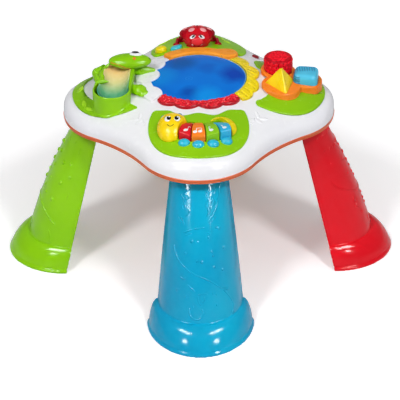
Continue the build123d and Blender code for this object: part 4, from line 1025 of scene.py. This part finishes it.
cloud = {
    "curls": [
        [(-100.0, -4.0), (-96.0, 4.0), (-89.0, 6.5), (-83.0, 3.0)],
        [(-84.0, -9.0), (-79.0, -14.5), (-72.5, -13.5)],
        [(-86.0, -26.0), (-80.5, -29.6), (-75.0, -27.0)], [(-82.0, -44.0), (-78.0, -40.0), (-73.0, -42.0)],
        [(-84.0, 40.0), (-79.0, 46.0), (-72.0, 45.0), (-68.0, 40.0)],
        [(-95.0, 22.0), (-90.0, 17.0), (-84.0, 19.0)]],
    "width": 2.0,
}


def curlCloud():
    surface = surfaceOf("cloud_trim")
    curls = [lineOn(surface, corners, cloud["width"], sink=0.32, taper=0.3) for corners in cloud["curls"]]
    gather("cloud_curls", curls, "cloudGloss", "table")


curlCloud()
print("screen edged, cloud curled")

roundBlock = {"place": (129.5, 28.5), "reach": 19.1, "bump": 3.9, "height": 1.5, "spacing": 7.4,
              "rows": [(339.5, 18, 0.0), (333.0, 18, 0.5), (326.5, 18, 0.0)]}


def studRoundBlock():
    # rows of low bumps, like a berry, on the top and on the part of the side that stands out
    surface = surfaceOf("block_round")
    bump = makePebble("berryBump", 1.0, 1.0)
    size = (roundBlock["bump"], roundBlock["bump"], roundBlock["height"])
    middleX, middleY = roundBlock["place"]
    bumps = []
    for row in range(-3, 4):
        for column in range(-3, 4):
            x = (column + 0.5 * (row % 2)) * roundBlock["spacing"]
            y = row * roundBlock["spacing"] * rowShare
            if math.hypot(x, y) < roundBlock["reach"]:
                bumps.append(setDown(bump, *dropOn(surface, middleX + x, middleY + y), size=size))
    for height, count, shift in roundBlock["rows"]:
        for step in range(count):
            spot = ringOn(surface, roundBlock["place"], 360 * (step + shift) / count, height)
            bumps.append(setDown(bump, *spot, along=(0, 0, 1), size=size))
    gather("block_round_bumps", bumps, "blockRed", "block_round")
    throwAway(bump)


studRoundBlock()

pyramid = {"middle": (132.6, -20.3), "reach": 27.6, "turn": 44.8, "shoulder": 319.0, "top": 349.5, "ribs": 15,
           "width": 1.5}


def ribPyramid():
    # fine ribs that run up each sloping face
    surface = surfaceOf("block_triangle")
    tip = Vector((*pyramid["middle"], pyramid["top"]))
    feet = []
    for step in range(3):
        reach = heading(pyramid["turn"] + 120 * step) * pyramid["reach"]
        feet.append(Vector((*pyramid["middle"], pyramid["shoulder"])) + reach)
    ribs = []
    for first, second in zip(feet, feet[1:] + feet[:1]):
        edge, rise = second - first, tip - (first + second) / 2
        for step in range(2, pyramid["ribs"] - 1):
            share = step / pyramid["ribs"]
            start = first + edge * share + rise * 0.03
            end = first + edge * share + rise * (1 - abs(2 * share - 1)) * 0.9
            ribs.append(nearLine(surface, [start, (start + end) / 2, end], pyramid["width"], step=3, sink=0.32))
    gather("block_triangle_ribs", ribs, "blockYellow", "block_triangle")


ribPyramid()

squareBlock = {"ridges": [160.5, 164.4, 168.3, 172.2, 176.1, 180.0, 183.9, 187.8], "front": 1.5, "back": 17.5,
               "levels": [328.5, 325.2, 321.9, 318.6], "middle": (174.0, 4.0), "width": 2.4, "grooveShadeDrop": 0.9,
               "voxel": 0.9, "rounds": 16, "softness": 0.6, "corner": (150, 246)}


def ridgeSquareBlock():
    # a comb of grooves on the rear half of the top, and level grooves round the left-hand corner
    surface = surfaceOf("block_square")
    lines = []
    for x in squareBlock["ridges"]:
        run = [(x, squareBlock["front"]), (x - 0.3, 8.0), (x - 0.8, squareBlock["back"])]
        lines.append(lineOn(surface, run, squareBlock["width"], sink=0.12, taper=0.4))
    for level in squareBlock["levels"]:
        turns = range(*squareBlock["corner"], 6)
        spots = [ringOn(surface, squareBlock["middle"], turn, level) for turn in turns]
        lines.append(makeRidge(spots, squareBlock["width"] * 0.8, sink=0.12, taper=0.4))
    # dark blue strips sunk into the grooves: painted shade in them
    grooveShade = [setDown(line, (0, 0, 0), (0, 0, 1)) for line in lines]
    for line in grooveShade:
        line.data.transform(Matrix.Translation((0, 0, -squareBlock["grooveShadeDrop"] * mm)))
    gather("block_square_grooves", grooveShade, "blockBlueDeep", "block_square")
    block = carved("block_square", "block_square_ridged", lines, softness=squareBlock["rounds"])
    standIn(block, "block_square", "blockBlue", "block_square", angle=edgeAngle)


ridgeSquareBlock()
print("blocks textured")

bug = {
    "pupilLift": 0.7,
    "spots": [(-23.0, 136.5, 5.4, 4.0, 35), (-11.4, 122.5, 5.6, 4.4, 10), (7.9, 122.5, 5.6, 4.4, -10),
              (18.5, 133.5, 5.4, 4.0, -35), (-9.5, 140.5, 4.4, 3.6, 20), (5.2, 140.5, 4.4, 3.6, -20),
              (-22.0, 155.0, 4.6, 3.8, 60), (17.5, 155.0, 4.6, 3.8, -60)],
    "eyes": [((-9.8, 110.0, 339.0), (0.9, 0.1, 0.42), 5.2, 3.0),
             ((5.6, 110.0, 338.8), (0.9, 0.1, -0.42), 5.2, 3.0)],
    "pupils": [((-8.6, 109.2, 340.6), (0.7, 0.0, 0.71), 3.2, 1.7),
               ((4.4, 109.2, 340.4), (0.7, 0.0, -0.71), 3.2, 1.7)],
    "lids": [[(-16.5, 112.5, 339.5), (-11.5, 111.5, 343.0), (-5.5, 111.5, 344.0), (-3.4, 111.0, 342.0)],
             [(11.5, 112.5, 339.5), (7.0, 111.5, 343.0), (1.0, 111.5, 344.0), (-0.8, 111.0, 342.0)]],
    "muzzle": ((-1.9, 105.0, 331.5), 10.0, 7.2, 2.2),
    # two pale pink ovals low on the chin: painted highlights
    "marks": [((-9.7, 108.0, 325.0), 2.2, 1.2), ((4.5, 108.0, 325.0), 2.2, 1.2)],
    "limbs": [[(-36.0, 137.5, 313.0, 3.2), (-33.5, 142.5, 319.0, 3.4)],
              [(-29.2, 150.5, 313.0, 3.0), (-30.5, 150.0, 318.0, 3.0)],
              [(32.0, 137.5, 313.0, 3.2), (29.5, 142.5, 319.0, 3.4)],
              [(25.2, 150.5, 313.0, 3.0), (26.5, 150.0, 318.0, 3.0)]],
    "seam": [(-2.0, 160.0), (-2.0, 148.0), (-2.0, 136.0), (-2.0, 124.0)],
}


def paintBug():
    surface = surfaceOf("ladybug_body", "ladybug_wings")
    oval = makePebble("bugOval", 1.0, ovalHeight, around=24, rings=8)
    spots, whites, darks = [], [], []
    for x, y, long, wide, turn in bug["spots"]:
        hit = dropOn(surface, x, y)
        if hit:
            spots.append(setDown(oval, *hit, along=heading(turn), size=(long, wide, 6.0)))
    for rows, lift, made in ((bug["eyes"], 0.0, whites), (bug["pupils"], bug["pupilLift"], darks)):
        for place, along, long, tall in rows:
            made.append(setDown(oval, *nearOn(surface, *place), along=along, size=(long, tall, 6.0), lift=lift))
    # the pale ovals low on the chin are painted highlights
    for place, long, tall in bug["marks"]:
        spots.append(setDown(oval, *nearOn(surface, *place), size=(long, tall, 5.0)))
    place, long, tall, deep = bug["muzzle"]
    muzzle = setDown(oval, *nearOn(surface, *place), size=(long, tall, deep / ovalHeight))
    lids = [nearLine(surface, corners, 1.6, sink=0.1) for corners in bug["lids"]]
    seam = lineOn(surface, bug["seam"], 1.8, sink=0.2)
    gather("ladybug_limbs", [makeHorn(corners) for corners in bug["limbs"]], "wingRed", "table")
    gather("ladybug_spots", spots, "spotPink", "ladybug")
    gather("ladybug_eye_whites", whites, "eyeWhite", "ladybug")
    gather("ladybug_pupils", darks, "blackPaint", "ladybug")
    gather("ladybug_muzzle", [muzzle], "muzzleRed", "ladybug")
    gather("ladybug_lids", lids + [seam], "wingRed", "ladybug")
    throwAway(oval)


paintBug()

# rounds of smoothing, how much of the height stays, finish and slot
buttonShape = {"button_yellow": (30, 1.0, "buttonYellow", "yellow_plastic"),
               "button_leaf": (22, 0.62, "leafBlue", "light_blue_plastic")}


buttonVoxel = 0.8


def domeButtons():
    for node, (rounds, rise, finish, slotName) in buttonShape.items():
        button = copyOfNode(node, node + "_domed")
        remeshed(button, buttonVoxel)
        for vertex in button.data.vertices:
            x, y, z = vertex.co / mm
            level = plateLevel(x, y)
            if z > level:
                vertex.co.z = (level + (z - level) * rise) * mm
        smoothed(button, rounds, 0.6)
        standIn(button, node, finish, node)


domeButtons()

frogShape = {
    "cutAt": (-149.0, 0.0, 344.0), "cutAlong": (-0.75, 0.35, 0.56), "voxel": 1.0, "rounds": 6,
    "leftLip": [(-164.5, -36.0, 332.4, 2.2), (-160.5, -29.5, 333.6, 3.2), (-155.5, -24.5, 334.4, 4.0),
                (-155.0, -17.0, 335.0, 4.2),
                (-156.5, -9.0, 335.4, 4.0), (-151.5, 6.5, 337.5, 3.0), (-147.3, 9.4, 341.0, 2.4),
                (-142.8, 12.1, 343.5, 1.6)],
    "cupMiddle": (-138.5, -49.0), "cupReach": 30.2, "fillet": 2.2, "sink": 0.6, "filletFrom": 180,
    "filletTo": 345,
    "notch": [(-162.0, -31.0, 332.6, 4.0), (-155.0, -28.5, 333.0, 4.0), (-149.5, -27.5, 332.6, 2.8),
              (-144.0, -27.5, 332.2, 1.0)],
    "rightLip": [(-109.4, -40.0, 332.0, 1.2), (-108.8, -28.0, 334.6, 1.7), (-107.6, -12.0, 337.8, 1.8),
                 (-107.0, -1.0, 340.0, 1.6)],
    "farEye": (-109.0, -117.0, 4.5),
}


def sliced(piece, point, normal):
    # cuts away what lies beyond a plane and closes the cut
    clearSelection()
    makeActive(piece)
    bpy.ops.object.mode_set(mode="EDIT")
    bpy.ops.mesh.select_all(action="SELECT")
    where, facing = Vector(point) * mm, Vector(normal).normalized()
    bpy.ops.mesh.bisect(plane_co=where, plane_no=facing, use_fill=True, clear_outer=True)
    bpy.ops.object.mode_set(mode="OBJECT")


def shapeFrog():
    body = copyOfNode("frog_body", "frog_body_soft")
    sliced(body, frogShape["cutAt"], frogShape["cutAlong"])
    ring = []
    for degree in range(frogShape["filletFrom"], frogShape["filletTo"], 10):
        x, y, level = ringSpot(frogShape["cupMiddle"], frogShape["cupReach"], degree)
        ring.append((x, y, plateLevel(x, y) - frogShape["sink"], frogShape["fillet"]))
    fillet = makeHorn(ring)
    clearSelection()
    fillet.select_set(True)
    makeActive(body)
    bpy.ops.object.join()
    remeshed(body, frogShape["voxel"])
    smoothed(body, frogShape["rounds"])
    bpy.ops.object.shade_smooth()
    lips = [makeHorn(frogShape[name]) for name in ("leftLip", "notch", "rightLip")]
    gather(body.name, [body] + lips, "frogGreen", "table")
    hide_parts("frog_body")
    chute = copyOfNode("belly_slide", "belly_slide_cut")
    sliced(chute, frogShape["cutAt"], frogShape["cutAlong"])
    standIn(chute, "belly_slide", "slidePaint", "table", angle=edgeAngle)
    eyes = copyOfNode("frog_eyes", "frog_eyes_low")
    near, far, drop = frogShape["farEye"]
    for vertex in eyes.data.vertices:
        vertex.co.z -= drop * ramp(vertex.co.x / mm, near, far) * mm
    standIn(eyes, "frog_eyes", "eyeWhite", "table")


shapeFrog()
print("frog shaped")

frog = {
    "pupils": [((-101.5, 20.5, 359.8), 6.0, 4.2)],
    "cheeks": [((-103.1, 6.3, 355.4), 2.6, 3.2)],
    # dark green ovals where the head has small notches: painted shade in them
    "notchShades": [((-78.7, 13.8, 350.5), 2.2, 1.4)],
    "mouth": [(-141.0, 9.0, 347.5), (-136.6, 4.4, 348.0), (-130.8, 1.7, 347.6), (-125.0, -0.5, 346.4),
              (-118.2, -0.9, 343.1), (-109.2, 1.5, 339.8)],
    "beads": [("frog_arm_right", (-97.4, 10.8, 331.2), 2.5), ("frog_arm_right", (-93.9, 11.2, 332.5), 2.0),
              ("frog_arm_right", (-89.3, 11.7, 330.7), 2.0), ("frog_arm_right", (-90.6, 10.5, 328.9), 1.8),
              ("frog_arm_right", (-96.3, 10.0, 328.0), 2.0), ("frog_foot", (-98.4, -36.1, 328.6), 1.2),
              ("frog_foot", (-91.1, -42.8, 326.7), 1.2),
              ("frog_arm_left", (-162.8, -4.0, 331.6), 2.3), ("frog_arm_left", (-165.4, 2.0, 333.8), 2.7),
              ("frog_arm_left", (-167.5, 6.2, 334.0), 2.1), ("frog_arm_left", (-161.0, 2.5, 336.0), 2.0)],
    "seams": [("frog_arm_right", [(-87.0, 12.8, 331.0), (-81.0, 14.6, 330.2), (-75.0, 17.4, 328.4)]),
              ("frog_foot", [(-101.0, -29.0, 327.0), (-94.0, -36.0, 329.6), (-88.5, -44.0, 327.0)]),
              ("frog_arm_left", [(-155.0, 15.0, 339.5), (-160.5, 12.0, 338.0), (-165.5, 7.5, 336.0)])],
}


def paintFrog():
    head, eyes = surfaceOf("frog_head"), surfaceOf("frog_eyes_low", "frog_head")
    oval = makePebble("frogOval", 1.0, ovalHeight, around=24, rings=8)
    bead = makePebble("frogBead", 1.0, 0.5)
    made = {}
    for name, surface, deep in (("pupils", eyes, 5.0), ("cheeks", head, 4.0), ("notchShades", head, 3.0)):
        made[name] = [setDown(oval, *nearOn(surface, *place), size=(long, wide, deep))
                      for place, long, wide in frog[name]]
    beads = [setDown(bead, *nearOn(surfaceOf(name), *place), size=(size, size, size))
             for name, place, size in frog["beads"]]
    seams = [nearLine(surfaceOf(name), corners, 1.3, sink=0.15) for name, corners in frog["seams"]]
    mouth = nearLine(head, frog["mouth"], 1.3, sink=0.2)
    gather("frog_pupils", made["pupils"], "blackPaint", "table")
    gather("frog_cheeks", made["cheeks"] + [mouth], "cheekOrange", "table")
    gather("frog_nostrils", made["notchShades"], "stemGreen", "table")
    gather("frog_beads", beads + seams, "frogGreen", "table")
    throwAway(oval, bead)


paintFrog()
print("ladybug and frog painted")

cutFrom, cutRise = 280.0, 60.0  # level and height of the cutters
plateCuts = {
    "plate_left": [(-108.0, -30.0), (-108.8, -63.5), (-92.0, -80.2), (-70.0, -85.0), (-70.0, -30.0)],
    "plate_right": [(88.2, -64.8), (92.2, -63.6), (99.4, -59.3), (107.7, -49.7), (111.9, -41.5), (113.7, -34.4),
                    (113.7, -20.0), (80.0, -20.0), (80.0, -64.8)],
}


def trimPlates():
    # the pointed ends of the two side plates
    for node, corners in plateCuts.items():
        clearSelection()
        bpy.ops.mesh.primitive_circle_add(vertices=len(corners), radius=mm, fill_type="NGON",
                                          location=(0, 0, 0))
        cutter = bpy.context.object
        for vertex, (x, y) in zip(cutter.data.vertices, corners):
            vertex.co = Vector((x, y, cutFrom)) * mm
        bpy.ops.object.mode_set(mode="EDIT")
        bpy.ops.mesh.select_all(action="SELECT")
        bpy.ops.mesh.extrude_region_move(TRANSFORM_OT_translate={"value": (0, 0, cutRise * mm)})
        bpy.ops.mesh.select_all(action="SELECT")
        bpy.ops.mesh.normals_make_consistent(inside=False)
        bpy.ops.object.mode_set(mode="OBJECT")
        plate = copyOfNode(node, node + "_pointed")
        applied(plate, "BOOLEAN", operation="DIFFERENCE", object=cutter, solver="EXACT")
        throwAway(cutter)
        makeActive(plate)
        standIn(plate, node, "plateLime", "table", angle=edgeAngle)


trimPlates()

rim = {"level": 261.6, "width": 4.8, "steps": 240, "sink": 0.3, "outside": 480.0}


def roundRim():
    # the orange edge strip swells over the lower edge of the white shell
    surface = surfaceOf("top_shell")
    turns = [360 * step / rim["steps"] for step in range(rim["steps"])]
    spots = [ringOn(surface, (0, 0), turn, rim["level"], reach=rim["outside"]) for turn in turns]
    bead = makeRidge(spots, rim["width"], sink=rim["sink"], closed=True)
    gather("rim_bead", [bead], "rimOrange", "table")


roundRim()
print("plates pointed, rim rounded")

leafRelief = {
    "plate_back": [((45.0, 166.0), -58, 15.0, 6.0), ((-50.0, 180.0), 60, 9.0, 4.0),
                   ((-60.0, 168.0), 20, 8.0, 3.6)],
    "plate_left": [((-191.0, 6.0), 75, 10.0, 4.4), ((-184.0, -38.0), 100, 9.0, 4.2),
                   ((-176.0, -52.0), 140, 8.0, 3.8)],
    "height": 1.1,
}


def raiseLeaves():
    for node in ("plate_back", "plate_left"):
        surface = surfaceOf(node)
        leaves = []
        for (x, y), turn, long, wide in leafRelief[node]:
            leaf = makeLeafShape("plateLeaf", long, wide, leafRelief["height"])
            along = heading(turn)
            leaves.append(setDown(leaf, *dropOn(surface, x, y), along=along))
            tip, root = Vector((x, y, 0)) + along * long * 0.8, Vector((x, y, 0)) - along * long * 1.25
            leaves.append(lineOn(surface, [(root.x, root.y), (x, y), (tip.x, tip.y)], 1.6, sink=-0.25))
            throwAway(leaf)
        gather(node + "_leaves", leaves, "leafLime", "table")


raiseLeaves()

knob = {"middle": (94.4, 98.64), "grips": [-4.0, -2.0, 0.0, 2.0, 4.0], "half": 2.9, "width": 0.9}


def gripSwitch():
    surface = surfaceOf("switch_knob")
    middleX, middleY = knob["middle"]
    slant, half = math.sqrt(0.5), knob["half"]
    grips = []
    for shift in knob["grips"]:
        x, y = middleX - slant * shift, middleY + slant * shift
        ends = [(x + slant * reach, y + slant * reach) for reach in (-half, 0.0, half)]
        grips.append(lineOn(surface, ends, knob["width"], step=2, sink=0.15))
    gather("switch_grips", grips, "switchRed", "switch")


gripSwitch()
print("leaves raised, switch gripped")

studio = {
    # the floor's glow is lower round the middle under the table: painted shadow
    "floorShades": ("f2f2f4", "f4f4f6"), "floorSize": 14.0, "shadowGlow": 0.22, "midGlow": 0.42, "farGlow": 0.3,
    "paintedShadowMiddle": (0.0, 0.16, 0.0), "aim": (0.0, 0.0, 0.2), "world": 0.29,
    "soft": {"place": (1.25, -1.8, 2.7), "size": (0.5, 0.5), "power": 42.0},
    "shine": {"place": (1.95, -2.5, 1.42), "size": (0.5, 0.5), "power": 44.0},
    "card": {"place": (1.74, -1.23, 2.7), "size": (0.75, 0.75), "power": 75.0},
}


def makeFloor():
    bpy.ops.object.select_all(action="DESELECT")
    bpy.ops.mesh.primitive_plane_add(size=studio["floorSize"], location=(0, 0, 0))
    floor = bpy.context.object
    floor.name = "floor"
    bpy.ops.object.mode_set(mode="EDIT")
    bpy.ops.mesh.subdivide(number_cuts=6)
    bpy.ops.object.mode_set(mode="OBJECT")
    made = bpy.data.materials.new("floorPale")
    made.use_nodes = True
    tree = made.node_tree
    tree.nodes.clear()
    start = Wire(tree)
    place = start.node("ShaderNodeTexCoord", out="Object")
    shade = noise(place, 3.0, 3.0).mix(*(colour(code) for code in studio["floorShades"]))
    matt = start.node("ShaderNodeBsdfDiffuse", {}, {"Color": shade})
    reach = distance(place, studio["paintedShadowMiddle"])
    # white from the camera; the glow is dimmer round the middle under the table, a painted shadow of the table
    # added to the one that the lamps cast
    far = reach.spread(0.1, 0.42, studio["shadowGlow"], studio["midGlow"]) + reach.spread(0.6, 1.6, 0.0,
                                                                                         studio["farGlow"])
    glow = start.node("ShaderNodeEmission", {}, {"Color": (1.0, 1.0, 1.0, 1.0), "Strength": far})
    both = start.node("ShaderNodeAddShader", {}, {0: matt, 1: glow})
    rays = start.node("ShaderNodeLightPath", out="Is Camera Ray")
    surface = start.node("ShaderNodeMixShader", {}, {0: rays, 1: matt, 2: both})
    output = tree.nodes.new("ShaderNodeOutputMaterial")
    tree.links.new(surface.socket, output.inputs[0])
    floor.data.materials.append(made)


def makeWorld():
    world = bpy.data.worlds.new("studio")
    bpy.context.scene.world = world
    world.use_nodes = True
    tree = world.node_tree
    tree.nodes.clear()
    start = Wire(tree)
    # reflections meet the white backdrop low down and the dimmer room above it
    path = tree.nodes.new("ShaderNodeLightPath")
    rays = ("Is Camera Ray", "Is Glossy Ray", "Is Transmission Ray")
    seen, shiny, through = (Wire(tree, path.outputs[name]) for name in rays)
    facing = start.node("ShaderNodeTexCoord", out="Generated")
    upward = start.node("ShaderNodeSeparateXYZ", {}, {0: facing}, out="Z")
    backdrop = upward.spread(-0.02, 0.05, 1.0, 0.0)
    strength = (seen + (shiny + through) * backdrop).spread(0.0, 1.0, studio["world"], 1.0)
    sky = start.node("ShaderNodeBackground", {}, {"Color": (1.0, 1.0, 1.0, 1.0), "Strength": strength})
    output = tree.nodes.new("ShaderNodeOutputWorld")
    tree.links.new(sky.socket, output.inputs[0])


def makeLamp(kind, side, name):
    look = studio[kind]
    across, back, height = look["place"]
    place = Vector((side * across, back, height))
    data = bpy.data.lights.new(kind + name, "AREA")
    data.shape = "RECTANGLE"
    data.size, data.size_y = look["size"]
    data.energy = look["power"]
    lamp = bpy.data.objects.new(kind + name, data)
    bpy.context.collection.objects.link(lamp)
    lamp.location = place
    lamp.rotation_euler = (Vector(studio["aim"]) - place).to_track_quat("-Z", "Y").to_euler()
    lamp.visible_diffuse = kind == "soft"  # the others only make the glints


def makeCamera():
    lens = {"focalPixels": 2096.0, "distance": 3.5111, "tilt": 32.262, "turn": 0.3128, "roll": -0.689,
            "aim": (0.0, 0.0, 0.089), "sensor": 36.0, "frame": 400.0}
    tilt, turn, roll = (math.radians(lens[key]) for key in ("tilt", "turn", "roll"))
    back = Vector((math.sin(turn) * math.cos(tilt), -math.cos(turn) * math.cos(tilt), math.sin(tilt)))
    side = Vector((math.cos(turn), math.sin(turn), 0.0))
    up = back.cross(side)
    across = side * math.cos(roll) + up * math.sin(roll)
    upward = up * math.cos(roll) - side * math.sin(roll)
    data = bpy.data.cameras.new("camera")
    data.sensor_width = lens["sensor"]
    data.lens = lens["focalPixels"] / lens["frame"] * lens["sensor"]
    data.clip_end = 50.0
    camera = bpy.data.objects.new("camera", data)
    bpy.context.collection.objects.link(camera)
    turned = Matrix((across, upward, back)).transposed().to_4x4()
    camera.matrix_world = Matrix.Translation(Vector(lens["aim"]) + back * lens["distance"]) @ turned
    bpy.context.scene.camera = camera


makeFloor()
makeWorld()
for side, name in ((-1, "Left"), (1, "Right")):
    for kind in ("soft", "shine", "card"):
        makeLamp(kind, side, name)
makeCamera()
bpy.context.scene.view_settings.view_transform = "Standard"
print("studio ready")
